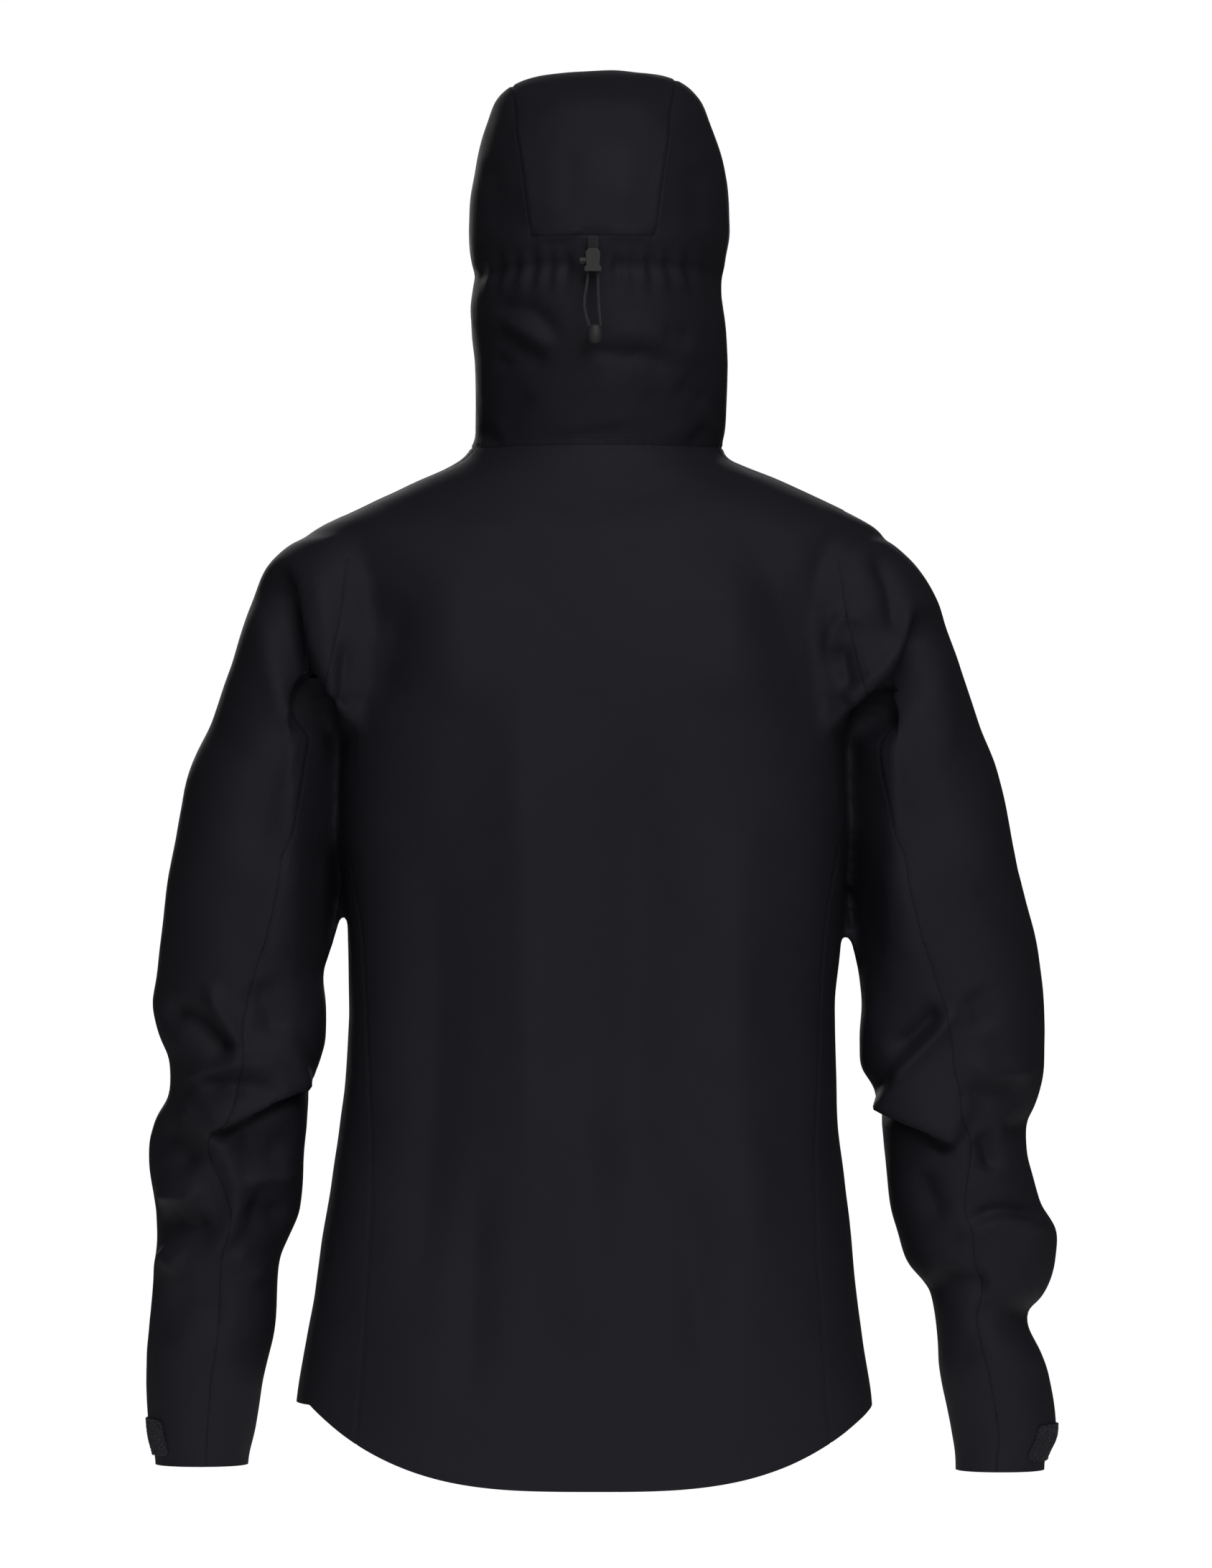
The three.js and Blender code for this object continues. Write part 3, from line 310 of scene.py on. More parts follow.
def smooth(keys, heights):
    """Values that run smoothly through [height, value] pairs, for an array of heights."""
    keys = np.asarray(keys, float)
    h, v = keys[:, 0], keys[:, 1]
    slope = np.diff(v) / np.diff(h)
    tangent = np.empty(len(h))
    tangent[0], tangent[-1] = slope[0], slope[-1]
    product = slope[:-1] * slope[1:]
    total = slope[:-1] + slope[1:]
    tangent[1:-1] = np.where(product <= 0, 0, 2 * product / np.where(total == 0, 1, total))
    x = np.clip(np.asarray(heights, float), h[0], h[-1])
    i = np.clip(np.searchsorted(h, x, side="right") - 1, 0, len(h) - 2)
    span = h[i + 1] - h[i]
    t = (x - h[i]) / span
    return (
        v[i] * (1 + 2 * t) * (1 - t) ** 2
        + v[i + 1] * t * t * (3 - 2 * t)
        + tangent[i] * span * t * (1 - t) ** 2
        - tangent[i + 1] * span * t * t * (1 - t)
    )


def add_mesh(name, points, faces, material, soft=True):
    """A new mesh object from points in metres."""
    mesh = bpy.data.meshes.new(name)
    mesh.from_pydata([tuple(p) for p in points], [], [tuple(int(i) for i in f) for f in faces])
    mesh.update()
    made = bpy.data.objects.new(name, mesh)
    bpy.context.scene.collection.objects.link(made)
    mesh.materials.append(material)
    if soft:
        mesh.polygons.foreach_set("use_smooth", np.ones(len(mesh.polygons), bool))
    return made


def choose(*objects):
    """Deselects everything, then selects these, the last one active."""
    for other in bpy.context.view_layer.objects:
        other.select_set(False)
    for one in objects:
        one.select_set(True)
    bpy.context.view_layer.objects.active = objects[-1]


def apply_modifier(obj, kind, **settings):
    modifier = obj.modifiers.new(kind.lower(), kind)
    for key, value in settings.items():
        setattr(modifier, key, value)
    choose(obj)
    bpy.ops.object.modifier_apply(modifier=modifier.name)


def bake_place(obj):
    choose(obj)
    bpy.ops.object.transform_apply(location=True, rotation=True, scale=True)


# ---- Hood cord ----

CORD_DIAMETER = 1.8
CORD_Y = 123.52
LOCK_FOOT = 891.0
CORD_POINTS = [
    (3.7, -0.3), (4.0, -6), (5.3, -14), (6.3, -23), (5.1, -32), (2.8, -39), (2.3, -43), (1.3, -46.4),
    (-1.5, -48.2), (-4.8, -46.4), (-5.5, -43), (-5.3, -38), (-4.5, -29), (-3.9, -18), (-3.7, -8),
    (-3.7, -0.3),
]  # across, and up from the lock's foot


def centripetal(points, per_span):
    """Points along a centripetal curve through the given ones."""
    p = np.array(points, float)
    p = np.vstack([2 * p[0] - p[1], p, 2 * p[-1] - p[-2]])
    made = []
    for k in range(1, len(p) - 2):
        a, b, c, d = p[k - 1 : k + 3]
        t0 = 0.0
        t1 = t0 + np.linalg.norm(b - a) ** 0.5
        t2 = t1 + np.linalg.norm(c - b) ** 0.5
        t3 = t2 + np.linalg.norm(d - c) ** 0.5
        for t in np.linspace(t1, t2, per_span, endpoint=False):
            ab = (t1 - t) / (t1 - t0) * a + (t - t0) / (t1 - t0) * b
            bc = (t2 - t) / (t2 - t1) * b + (t - t1) / (t2 - t1) * c
            cd = (t3 - t) / (t3 - t2) * c + (t - t2) / (t3 - t2) * d
            abc = (t2 - t) / (t2 - t0) * ab + (t - t0) / (t2 - t0) * bc
            bcd = (t3 - t) / (t3 - t1) * bc + (t - t1) / (t3 - t1) * cd
            made.append((t2 - t) / (t2 - t1) * abc + (t - t1) / (t2 - t1) * bcd)
    made.append(p[-2])
    return np.array(made)


def make_hood_cord():
    route = to_row(centripetal([(x, CORD_Y, LOCK_FOOT + z) for x, z in CORD_POINTS], 4))
    curve = bpy.data.curves.new("hood_cord_strands", "CURVE")
    curve.dimensions = "3D"
    curve.bevel_depth = CORD_DIAMETER / 2 * MM
    curve.bevel_resolution = 4
    curve.use_fill_caps = True
    spline = curve.splines.new("POLY")
    spline.points.add(len(route) - 1)
    for point, place in zip(spline.points, route):
        point.co = (*place, 1)
    curve.materials.append(BRAID)
    cord = bpy.data.objects.new("hood_cord_strands", curve)
    bpy.context.scene.collection.objects.link(cord)
    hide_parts("hood_cord")
    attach(cord, "lock_cord")
    length = float(np.linalg.norm(np.diff(route, axis=0), axis=1).sum())
    return cord, tuple(route[0]), length


TOGGLE_FLATNESS = 0.82


def make_cord_end():
    """A soft oval toggle over the doubled cord, with a waist ring."""
    low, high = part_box("hood_cord_end")
    centre = [(a + b) / 2 for a, b in zip(low, high)]
    half_wide = (high[0] - low[0]) / 2
    tall = high[2] - low[2]
    steps, sides = 26, 40
    angles = np.linspace(0, 2 * np.pi, sides, endpoint=False)
    points, faces = [], []
    for k in range(steps + 1):
        t = k / steps
        round_off = max(0.0, 1 - abs(2 * t - 1) ** 2.3) ** 0.5
        radius = half_wide * (0.2 + 0.8 * round_off)
        radius -= 0.0005 * math.exp(-(((t - 0.78) / 0.03) ** 2))
        for a in angles:
            x = centre[0] + radius * math.cos(a)
            y = centre[1] + TOGGLE_FLATNESS * radius * math.sin(a)
            points.append((x, y, low[2] + tall * t))
    for k in range(steps):
        for i in range(sides):
            j = (i + 1) % sides
            faces.append((k * sides + i, k * sides + j, (k + 1) * sides + j, (k + 1) * sides + i))
    faces.append(tuple(range(sides))[::-1])
    faces.append(tuple(steps * sides + i for i in range(sides)))
    toggle = add_mesh("hood_cord_toggle", points, faces, RUBBER)
    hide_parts("hood_cord_end")
    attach(toggle, "lock_cord")
    return toggle


hood_cord, cord_exit, cord_length = make_hood_cord()
cord_toggle = make_cord_end()

# ---- The jacket's shape ----

NECK = 766.0
COLLAR_TOP = 836.0
CREASE = 918.0  # the hood's cross seam
GATHER = 894.0  # the line where the hood cord pulls the hood in
UNDERARM = 480.0
SIDE_HEM = 60.0
HEM_HALF = 209.0
HEM_CURVE = 3.2
FRONT_AT_HEM = 140.0
FRONT_LEAN = (140.0 - 117.0) / (766.0 - 60.0)
COLLAR_BACK_Y = -12.0
FRONT_Y = -60  # what lies ahead of this is the front
SLEEVE_TOP = 735  # no part of a sleeve is above this
SIDE_PANEL_TOP = 500
SHOULDER_SEAM_Y = 14.0
FACE_HALF = 72.0
FACE_LOW = 836.3
FACE_HIGH = 974.0
ZIP_SLOT_HALF = 5.6
POCKET_X = 112.0
POCKET_FOOT = 228.0
POCKET_LENGTH = 190.0
CUFF_HEIGHT = 42.0
CUFF_FOOT = {1: 12.0, -1: 8.0}
SLEEVE_CUT = 400.0  # where the upper sleeve is joined to the forearm, above the elbow
VOXEL = 3.2
FABRIC = 0.9  # thickness of the laminate as shown

# Half widths of the body, left and right, and its back, by height.
BODY_LEFT = [
    (-20, 226), (57, 220), (99, 214), (142, 206), (184, 200), (226, 193), (269, 187), (311, 183), (354, 181),
    (415, 182), (485, 187), (545, 187), (630, 190), (665, 200), (690, 212), (701, 211), (712, 191),
    (722, 170),
    (732, 150), (742, 128), (751, 108), (758, 96), (766, 90), (800, 84),
]
BODY_RIGHT = [
    (-20, 211), (57, 207), (99, 200), (142, 195), (184, 191), (226, 186), (269, 181), (311, 180), (354, 179),
    (404, 184), (466, 187), (545, 187), (630, 190), (665, 200), (690, 212), (701, 215), (712, 201),
    (722, 182),
    (732, 160), (742, 137), (751, 115), (758, 100), (766, 94), (800, 88),
]
BODY_BACK = [(0, 128), (335, 120), (590, 131), (698, 112), (766, 80), (800, 78)]

# Sleeve outlines by height: the edge next to the body, the outer edge, then front and back.
SLEEVE_DEPTH = [
    (8, -73, 17), (48, -74, 22), (98, -73, 30), (184, -70, 46), (268, -66, 62), (303, -63, 68),
    (333, -63, 72),
    (396, -67, 76), (458, -72, 82), (486, -75, 85), (538, -79, 89), (610, -80, 90), (662, -70, 85),
    (691, -56, 72),
    (704, -38, 54),
]
SLEEVE_EDGES = {
    1: [
        (-20, 257, 325), (14, 256, 325), (36, 251, 330), (78, 244, 332), (120, 235, 329), (163, 233, 325),
        (184, 225, 323), (205, 217, 324), (226, 214, 328), (248, 213, 330), (269, 211, 324), (290, 210, 313),
        (311, 202, 314), (332, 197, 322), (354, 197, 326), (375, 199, 323), (396, 193, 321), (438, 184, 316),
        (460, 180, 311), (481, 165, 306), (523, 148, 297), (566, 136, 281), (608, 128, 267), (650, 126, 254),
        (672, 130, 246), (693, 140, 224), (704, 152, 202),
    ],
    -1: [
        (-20, 269, 335), (14, 269, 335), (36, 266, 344), (78, 258, 339), (120, 253, 322), (142, 248, 335),
        (163, 232, 342), (184, 226, 344), (205, 220, 333), (226, 217, 327), (248, 215, 321), (269, 213, 323),
        (290, 208, 330), (311, 197, 334), (332, 197, 334), (354, 199, 333), (375, 197, 331), (396, 192, 328),
        (438, 184, 319), (460, 180, 313), (481, 165, 308), (523, 148, 297), (566, 136, 284), (608, 128, 269),
        (650, 126, 256), (672, 130, 244), (693, 140, 223), (704, 152, 202),
    ],
}

# The hood by rise above the neck seam.
HOOD_LEFT = [
    (-26, 84), (0, 89), (9, 88), (62, 88), (102, 91), (128, 89), (141, 92), (155, 93), (181, 92), (208, 87),
    (224, 83), (240, 78), (254, 73), (264, 65), (271, 53), (276, 34), (279, 8),
]
HOOD_RIGHT = [
    (-26, 88), (0, 95), (9, 98), (49, 100), (88, 98), (115, 95), (128, 97), (141, 99), (155, 101), (181, 100),
    (208, 96), (224, 92), (240, 87), (254, 82), (264, 74), (271, 63), (276, 43), (279, 10),
]
HOOD_BACK = [
    (-26, 72), (0, 80), (40, 91), (90, 108), (128, 113), (155, 121), (181, 122), (207, 117), (234, 104),
    (252, 88), (264, 68), (272, 44), (279, 12),
]
HOOD_FRONT = [
    (-26, 100), (0, 117), (70, 114.7), (128, 119), (155, 122), (190, 122), (216, 114), (234, 102), (252, 80),
    (264, 56), (272, 32), (279, 8),
]


def front_at(z):
    return -(FRONT_AT_HEM - FRONT_LEAN * (z - SIDE_HEM))


def ring_points(left, right, front, back, z, power, sides):
    """A level ring with its own left and right half widths."""
    angles = np.linspace(0, 2 * np.pi, sides, endpoint=False)
    c, s = np.cos(angles), np.sin(angles)
    c = np.sign(c) * np.abs(c) ** (2 / power)
    s = np.sign(s) * np.abs(s) ** (2 / power)
    x = (left - right) / 2 + (left + right) / 2 * c
    y = (front + back) / 2 + (back - front) / 2 * s
    return np.stack([x, y, np.full(sides, z)], axis=1)


def loft(name, rings):
    """A closed mesh through level rings from the bottom up."""
    sides = len(rings[0])
    points = np.vstack(rings + [rings[0].mean(0), rings[-1].mean(0)])
    faces = []
    for r in range(len(rings) - 1):
        for i in range(sides):
            j = (i + 1) % sides
            faces.append((r * sides + i, r * sides + j, (r + 1) * sides + j, (r + 1) * sides + i))
    bottom, top = len(points) - 2, len(points) - 1
    last = (len(rings) - 1) * sides
    for i in range(sides):
        j = (i + 1) % sides
        faces.append((bottom, j, i))
        faces.append((top, last + i, last + j))
    return add_mesh(name, to_row(points), faces, SHELL)


def make_base_skin():
    """Body, sleeves and hood as closed lofts, joined into one skin and evened out."""
    z = np.arange(-20, 796, 7.0)
    power = 2.2 + 0.5 * np.clip((700 - z) / 130, 0, 1)
    left, right, back = smooth(BODY_LEFT, z), smooth(BODY_RIGHT, z), smooth(BODY_BACK, z)
    inset = np.where(z > NECK, (z - NECK) * 0.4, 0)
    rings = []
    for k in range(len(z)):
        front = front_at(z[k]) + inset[k]
        rings.append(ring_points(left[k], right[k], front, back[k], z[k], power[k], 110))
    body = loft("base_body", rings)
    parts = [body]
    depth = np.array(SLEEVE_DEPTH, float)
    for side in (1, -1):
        edges = np.array(SLEEVE_EDGES[side], float)
        z = np.arange(-20, 705, 6.0)
        inner, outer = smooth(edges[:, [0, 1]], z), smooth(edges[:, [0, 2]], z)
        front, back = smooth(depth[:, [0, 1]], z), smooth(depth[:, [0, 2]], z)
        middle, half = side * (inner + outer) / 2, (outer - inner) / 2
        rings = [
            ring_points(middle[k] + half[k], half[k] - middle[k], front[k], back[k], z[k], 2.15, 72)
            for k in range(len(z))
        ]
        for k, ring in enumerate(rings):
            # Beside the body the sleeve's back falls away behind the body's edge, below a slanting line.
            x = np.abs(ring[:, 0])
            line = 573 + 1.1 * (x - 187)
            below_arm = smoothstep((line - z[k]) / 26) * smoothstep((z[k] - 340) / 90)
            nearness = smoothstep((222 - x) / 36)
            ring[:, 1] -= 58 * below_arm * nearness * smoothstep(ring[:, 1] / 30)
        parts.append(loft("base_sleeve", rings))
    rise = np.concatenate([np.arange(-26, 230, 6.0), np.arange(230, 280, 3.0)])
    left, right = smooth(HOOD_LEFT, rise), smooth(HOOD_RIGHT, rise)
    front, back = -smooth(HOOD_FRONT, rise), smooth(HOOD_BACK, rise)
    parts.append(loft("base_hood", [
        ring_points(left[k], right[k], front[k], back[k], NECK + rise[k], 2.2, 90) for k in range(len(rise))
    ]))
    choose(*parts[1:], parts[0])
    bpy.ops.object.join()
    skin = bpy.context.object
    skin.data.remesh_voxel_size = VOXEL * MM
    skin.data.remesh_voxel_adaptivity = 0
    bpy.ops.object.voxel_remesh()
    mesh = skin.data
    mesh.calc_loop_triangles()
    points = np.empty(len(mesh.vertices) * 3)
    mesh.vertices.foreach_get("co", points)
    triangles = np.empty(len(mesh.loop_triangles) * 3, np.int64)
    mesh.loop_triangles.foreach_get("vertices", triangles)
    bpy.data.objects.remove(skin)
    return points.reshape(-1, 3) / MM + HEM_TO_ORIGIN, triangles.reshape(-1, 3)


def edges_of(triangles):
    pairs = np.vstack([triangles[:, [0, 1]], triangles[:, [1, 2]], triangles[:, [2, 0]]])
    return np.unique(np.sort(pairs, axis=1), axis=0)


def relax(points, triangles, times, weight=None):
    """Moves each point towards the mean of its neighbours, all over or by weight."""
    edges = edges_of(triangles)
    ends = np.concatenate([edges[:, 0], edges[:, 1]])
    others = np.concatenate([edges[:, 1], edges[:, 0]])
    count = np.maximum(np.bincount(ends, minlength=len(points)), 1)[:, None]
    share = 0.5 if weight is None else 0.5 * weight[:, None]
    for _ in range(times):
        total = np.stack([np.bincount(ends, points[others, k], len(points)) for k in range(3)], axis=1)
        points = points + share * (total / count - points)
    return points


def normals_of(points, triangles):
    a, b, c = (points[triangles[:, k]] for k in range(3))
    flat = np.cross(b - a, c - a)
    total = np.zeros_like(points)
    for k in range(3):
        for axis in range(3):
            total[:, axis] += np.bincount(triangles[:, k], flat[:, axis], len(points))
    return total / np.maximum(np.linalg.norm(total, axis=1), 1e-12)[:, None]


# ---- Where the seams run ----

ARMHOLE = [
    (-20, 236), (60, 228), (120, 221), (163, 215), (205, 206), (248, 200), (290, 196), (333, 189), (375, 189),
    (400, 187), (440, 183.5), (480, 181), (520, 176), (560, 173), (640, 174), (690, 182), (714, 186),
    (735, 188),
]
SIDE_SEAM = [(0, 176), (120, 168), (220, 163), (330, 166), (400, 170), (450, 177), (480, 184), (510, 196)]
SLEEVE_SEAM_SHARE = [
    (0, 0.44), (60, 0.43), (196, 0.46), (222, 0.52), (250, 0.60), (277, 0.52), (333, 0.48), (379, 0.40),
    (448, 0.37), (515, 0.42), (575, 0.47), (640, 0.45),
]


def armhole_x(z):
    return smooth(ARMHOLE, z)


def sleeve_seam_x(side, z):
    edges = np.array(SLEEVE_EDGES[side], float)
    inner, outer = smooth(edges[:, [0, 1]], z), smooth(edges[:, [0, 2]], z)
    return inner + smooth(SLEEVE_SEAM_SHARE, z) * (outer - inner)


def hem_height(p):
    drop = SIDE_HEM * np.clip(np.abs(p[:, 0]) / HEM_HALF, 0, 1) ** HEM_CURVE
    return np.where(p[:, 1] > 0, drop, SIDE_HEM)


def armhole_field(p):
    return np.abs(p[:, 0]) - armhole_x(p[:, 2])


def hem_field(p):
    return p[:, 2] - hem_height(p)


def hem_tunnel_field(p):
    return p[:, 2] - hem_height(p) - 24.0


def side_field(p):
    return np.abs(p[:, 0]) - smooth(SIDE_SEAM, p[:, 2])


def shoulder_field(p):
    return p[:, 1] - SHOULDER_SEAM_Y


def neck_field(p):
    return p[:, 2] - NECK


def collar_back_field(p):
    return p[:, 1] - COLLAR_BACK_Y


def collar_top_field(p):
    return p[:, 2] - COLLAR_TOP


def crown_side_field(p):
    return np.abs(p[:, 0]) - (45 + 0.13 * (p[:, 2] - CREASE))


def crease_field(p):
    return p[:, 2] - CREASE


def zip_slot_field(p):
    return np.abs(p[:, 0]) - ZIP_SLOT_HALF


def rounded_box(p, low, high, half, corner_low, corner_high, grow=0.0):
    """How far points lie outside a rounded outline in X and Z whose top and foot corners differ."""
    z, x = p[:, 2], np.abs(p[:, 0])
    middle = (low + high) / 2
    corner = np.where(z > middle, corner_high, corner_low) + grow
    dx = x - (half + grow) + corner
    dz = np.where(z > middle, z - (high + grow), (low - grow) - z) + corner
    outside = np.hypot(np.maximum(dx, 0), np.maximum(dz, 0))
    return outside + np.minimum(np.maximum(dx, dz), 0) - corner


def face_field(p):
    return rounded_box(p, FACE_LOW, FACE_HIGH, FACE_HALF, 18, 52)


def face_edge_field(p):
    return rounded_box(p, FACE_LOW, FACE_HIGH, FACE_HALF, 18, 52, 13)


def pocket_field(p):
    dx = np.abs(np.abs(p[:, 0]) - POCKET_X) - ZIP_SLOT_HALF
    dz = np.abs(p[:, 2] - POCKET_FOOT - POCKET_LENGTH / 2) - POCKET_LENGTH / 2 - 2
    return np.maximum(dx, dz)


def channel_field(p):
    return np.abs(p[:, 2] - GATHER + 0.5) - 7.5


def beyond(low, high, corner):
    """How far outside a rounded outline points lie, from how far they are past its sides and its ends."""
    d1, d2 = low + corner, high + corner
    return np.hypot(np.maximum(d1, 0), np.maximum(d2, 0)) + np.minimum(np.maximum(d1, d2), 0) - corner


def cuff_middle(p):
    left = p[:, 0] > 0
    return np.where(left, 291.0, 302.0), np.where(left, CUFF_FOOT[1], CUFF_FOOT[-1]) + CUFF_HEIGHT / 2


def patch_field(p):
    """The loop patch wraps round the cuff's outer edge from front to back."""
    x, z = cuff_middle(p)
    outline = beyond(np.abs(p[:, 2] - z) - 13, p[:, 1] - np.where(p[:, 0] > 0, 9, 12), 5)
    return np.maximum(outline, x - 6 - np.abs(p[:, 0]))


CUFF_TAB_Y = -42  # the tab and its hook patch lie in front of this


def cuff_tab_field(p):
    x, z = cuff_middle(p)
    outline = beyond(np.abs(p[:, 2] - z) - 14, np.abs(np.abs(p[:, 0]) - x - 1) - 27, 6)
    return np.maximum(outline, p[:, 1] - CUFF_TAB_Y)


def hook_field(p):
    x, z = cuff_middle(p)
    outline = beyond(np.abs(p[:, 2] - z) - 10, np.abs(np.abs(p[:, 0]) - x - 13) - 11, 3)
    return np.maximum(outline, p[:, 1] - CUFF_TAB_Y)


def flap_field(p):
    return np.abs(p[:, 0]) - 16


def bag_field(p):
    return beyond(np.abs(np.abs(p[:, 0]) - 88) - 50, np.abs(p[:, 2] - 282) - 144, 24)


def label_field(p):
    return beyond(np.abs(p[:, 0]) - 21, np.abs(p[:, 2] - 795) - 13, 2)


def chin_field(p):
    return beyond(np.abs(p[:, 0]) - 44, np.abs(p[:, 2] - 802) - 28, 10)


def sleeve_cut_field(p):
    return p[:, 2] - SLEEVE_CUT


def cuff_foot_field(p):
    return p[:, 2] - np.where(p[:, 0] > 0, CUFF_FOOT[1], CUFF_FOOT[-1])


def cuff_seam_field(p):
    return cuff_foot_field(p) - CUFF_HEIGHT


def sleeve_seam_field(p):
    left = np.abs(p[:, 0]) - sleeve_seam_x(1, p[:, 2])
    right = np.abs(p[:, 0]) - sleeve_seam_x(-1, p[:, 2])
    return np.where(p[:, 0] > 0, left, right)


def in_sleeve(p):
    return (armhole_field(p) > 0) & (p[:, 2] < 730)


def in_body(p):
    return ~in_sleeve(p) & (p[:, 2] < NECK)


def in_hood(p):
    return p[:, 2] > NECK


class Skin:
    """The jacket's outer face as one mesh of triangles, into which seams are cut as lines of edges."""

    def __init__(self, points, triangles):
        self.points, self.triangles = points, triangles
        self.normals = normals_of(points, triangles)
        self.locked = np.zeros(len(points), bool)
        self.seam = np.full(len(points), 60.0)
        self.groove = np.zeros(len(points), bool)

    def centres(self):
        return self.points[self.triangles].mean(axis=1)

    def cut(self, field, where=None, sewn=True, row=True):
        """Splits the triangles that lie across field's zero line, where their middles pass the test."""
        inside = np.ones(len(self.triangles), bool) if where is None else where(self.centres())
        touched = np.zeros(len(self.points), bool)
        touched[self.triangles[inside].ravel()] = True
        f = field(self.points)
        self.snap(field, f, touched)
        f = field(self.points)
        f[np.abs(f) < 1e-3] = 0
        signs = np.sign(f)[self.triangles]
        across = inside & (signs.min(axis=1) < 0) & (signs.max(axis=1) > 0)
        kept = self.triangles[~across]
        split = self.triangles[across]
        split = self.split(split, f)
        self.triangles = np.vstack([kept, split])
        on_line = np.zeros(len(self.points), bool)
        on_line[: len(f)] = (f == 0) & touched
        on_line[len(f) :] = True
        self.locked |= on_line
        if sewn:
            self.groove |= on_line
        if row:
            g = field(self.points)
            near = np.ones(len(self.points), bool) if where is None else where(self.points)
            self.seam = np.where(near, np.minimum(self.seam, np.abs(g)), self.seam)

    def snap(self, field, f, touched):
        """Moves loose points that are close to the line onto it, along the surface."""
        step = 0.5
        slope = np.empty_like(self.points)
        for axis, d in enumerate(np.eye(3)):
            slope[:, axis] = (field(self.points + step * d) - field(self.points - step * d)) / (2 * step)
        slope -= (slope * self.normals).sum(axis=1, keepdims=True) * self.normals
        size = np.maximum((slope**2).sum(axis=1), 1e-6)
        move = -(f / size)[:, None] * slope
        close = touched & ~self.locked & (np.linalg.norm(move, axis=1) < 0.33 * VOXEL) & (size > 0.04)
        self.points[close] += move[close]

    def split(self, split, f):
        """Cuts each triangle of a list where f passes through zero between its corners."""
        if not len(split):
            return split
        s = np.sign(f)[split]
        made, made_from = {}, []

        def between(a, b):
            key = (a, b) if a < b else (b, a)
            if key not in made:
                made[key] = len(self.points) + len(made_from)
                made_from.append(key)
            return made[key]

        out = []
        for corners, sign in zip(split.tolist(), s.tolist()):
            zero = sign.count(0)
            if zero == 1:
                k = sign.index(0)
                a, b, c = corners[k], corners[(k + 1) % 3], corners[(k + 2) % 3]
                m = between(b, c)
                out += [(a, b, m), (a, m, c)]
                continue
            lone = 1 if sign.count(1) == 1 else -1
            k = sign.index(lone)
            a, b, c = corners[k], corners[(k + 1) % 3], corners[(k + 2) % 3]
            m, n = between(a, b), between(a, c)
            out += [(a, m, n), (m, b, c), (m, c, n)]
        pairs = np.array(made_from)
        fa, fb = f[pairs[:, 0]], f[pairs[:, 1]]
        t = (fa / (fa - fb))[:, None]
        count = len(pairs)
        between_them = self.points[pairs[:, 0]] * (1 - t) + self.points[pairs[:, 1]] * t
        self.points = np.vstack([self.points, between_them])
        normals = self.normals[pairs[:, 0]] * (1 - t) + self.normals[pairs[:, 1]] * t
        self.normals = np.vstack([self.normals, normals / np.linalg.norm(normals, axis=1, keepdims=True)])
        self.locked = np.concatenate([self.locked, np.ones(count, bool)])
        self.groove = np.concatenate([self.groove, np.zeros(count, bool)])
        self.seam = np.concatenate([self.seam, np.minimum(self.seam[pairs[:, 0]], self.seam[pairs[:, 1]])])
        return np.array(out)


def on_front(p):
    return p[:, 1] < FRONT_Y


def on_collar_front(p):
    return on_front(p) & (p[:, 2] < COLLAR_TOP + 2)


def on_cuff(p):
    return in_sleeve(p) & (p[:, 2] < 70)


def by_armhole(p):
    return (p[:, 2] > UNDERARM - 40) & (p[:, 2] < SLEEVE_TOP)


SEWN = dict()
TRIM = dict(sewn=False, row=False)  # an outline only, with no groove and no row of sewing
EDGE = dict(sewn=False)
PLAIN = dict(row=False)

# Each line that is cut into the skin, where it runs, and how it is finished. The order matters.
SEAMS = [
    (armhole_field, by_armhole, TRIM),
    (hem_field, in_body, TRIM),
    (neck_field, lambda p: p[:, 2] > 740, SEWN),
    (collar_back_field, lambda p: (p[:, 2] > NECK) & (p[:, 2] < COLLAR_TOP + 4), SEWN),
    (collar_top_field, lambda p: (p[:, 1] < COLLAR_BACK_Y) & (p[:, 2] > NECK) & (p[:, 2] < 880), SEWN),
    (side_field, lambda p: in_body(p) & (p[:, 2] < SIDE_PANEL_TOP), PLAIN),
    (shoulder_field, lambda p: in_body(p) & (p[:, 2] > 640), SEWN),
    (crown_side_field, lambda p: p[:, 2] > CREASE - 2, SEWN),
    (crease_field, lambda p: (p[:, 1] > 0) & (np.abs(p[:, 0]) < 46.5) & (p[:, 2] > 880), SEWN),
    (sleeve_seam_field, in_sleeve, SEWN),
    (face_field, lambda p: in_hood(p) & on_front(p), EDGE),
    (zip_slot_field, on_collar_front, EDGE),
    (pocket_field, lambda p: in_body(p) & on_front(p), EDGE),
    (cuff_foot_field, in_sleeve, TRIM),
    (cuff_seam_field, in_sleeve, TRIM),
    (sleeve_cut_field, in_sleeve, TRIM),
    (hem_tunnel_field, in_body, TRIM),
    (face_edge_field, lambda p: in_hood(p) & on_front(p), EDGE),
    (channel_field, lambda p: (p[:, 2] > 870) & (p[:, 2] < 915), TRIM),
    (patch_field, on_cuff, TRIM),
    (cuff_tab_field, on_cuff, TRIM),
    (hook_field, on_cuff, TRIM),
    (flap_field, on_collar_front, TRIM),
    (bag_field, lambda p: in_body(p) & on_front(p) & (p[:, 2] < SIDE_PANEL_TOP), TRIM),
    (label_field, lambda p: in_hood(p) & (p[:, 1] > 0) & (p[:, 2] < 830), TRIM),
    (chin_field, lambda p: in_hood(p) & on_front(p) & (p[:, 2] < COLLAR_TOP), TRIM),
]


def cut_seams(skin):
    for field, where, finish in SEAMS:
        skin.cut(field, where, **finish)


# ---- Folds ----


def fold_line(points):
    """A smooth line in X and Z through the chosen points."""
    return centripetal([(x, 0, z) for x, z in points], 8)[:, [0, 2]]


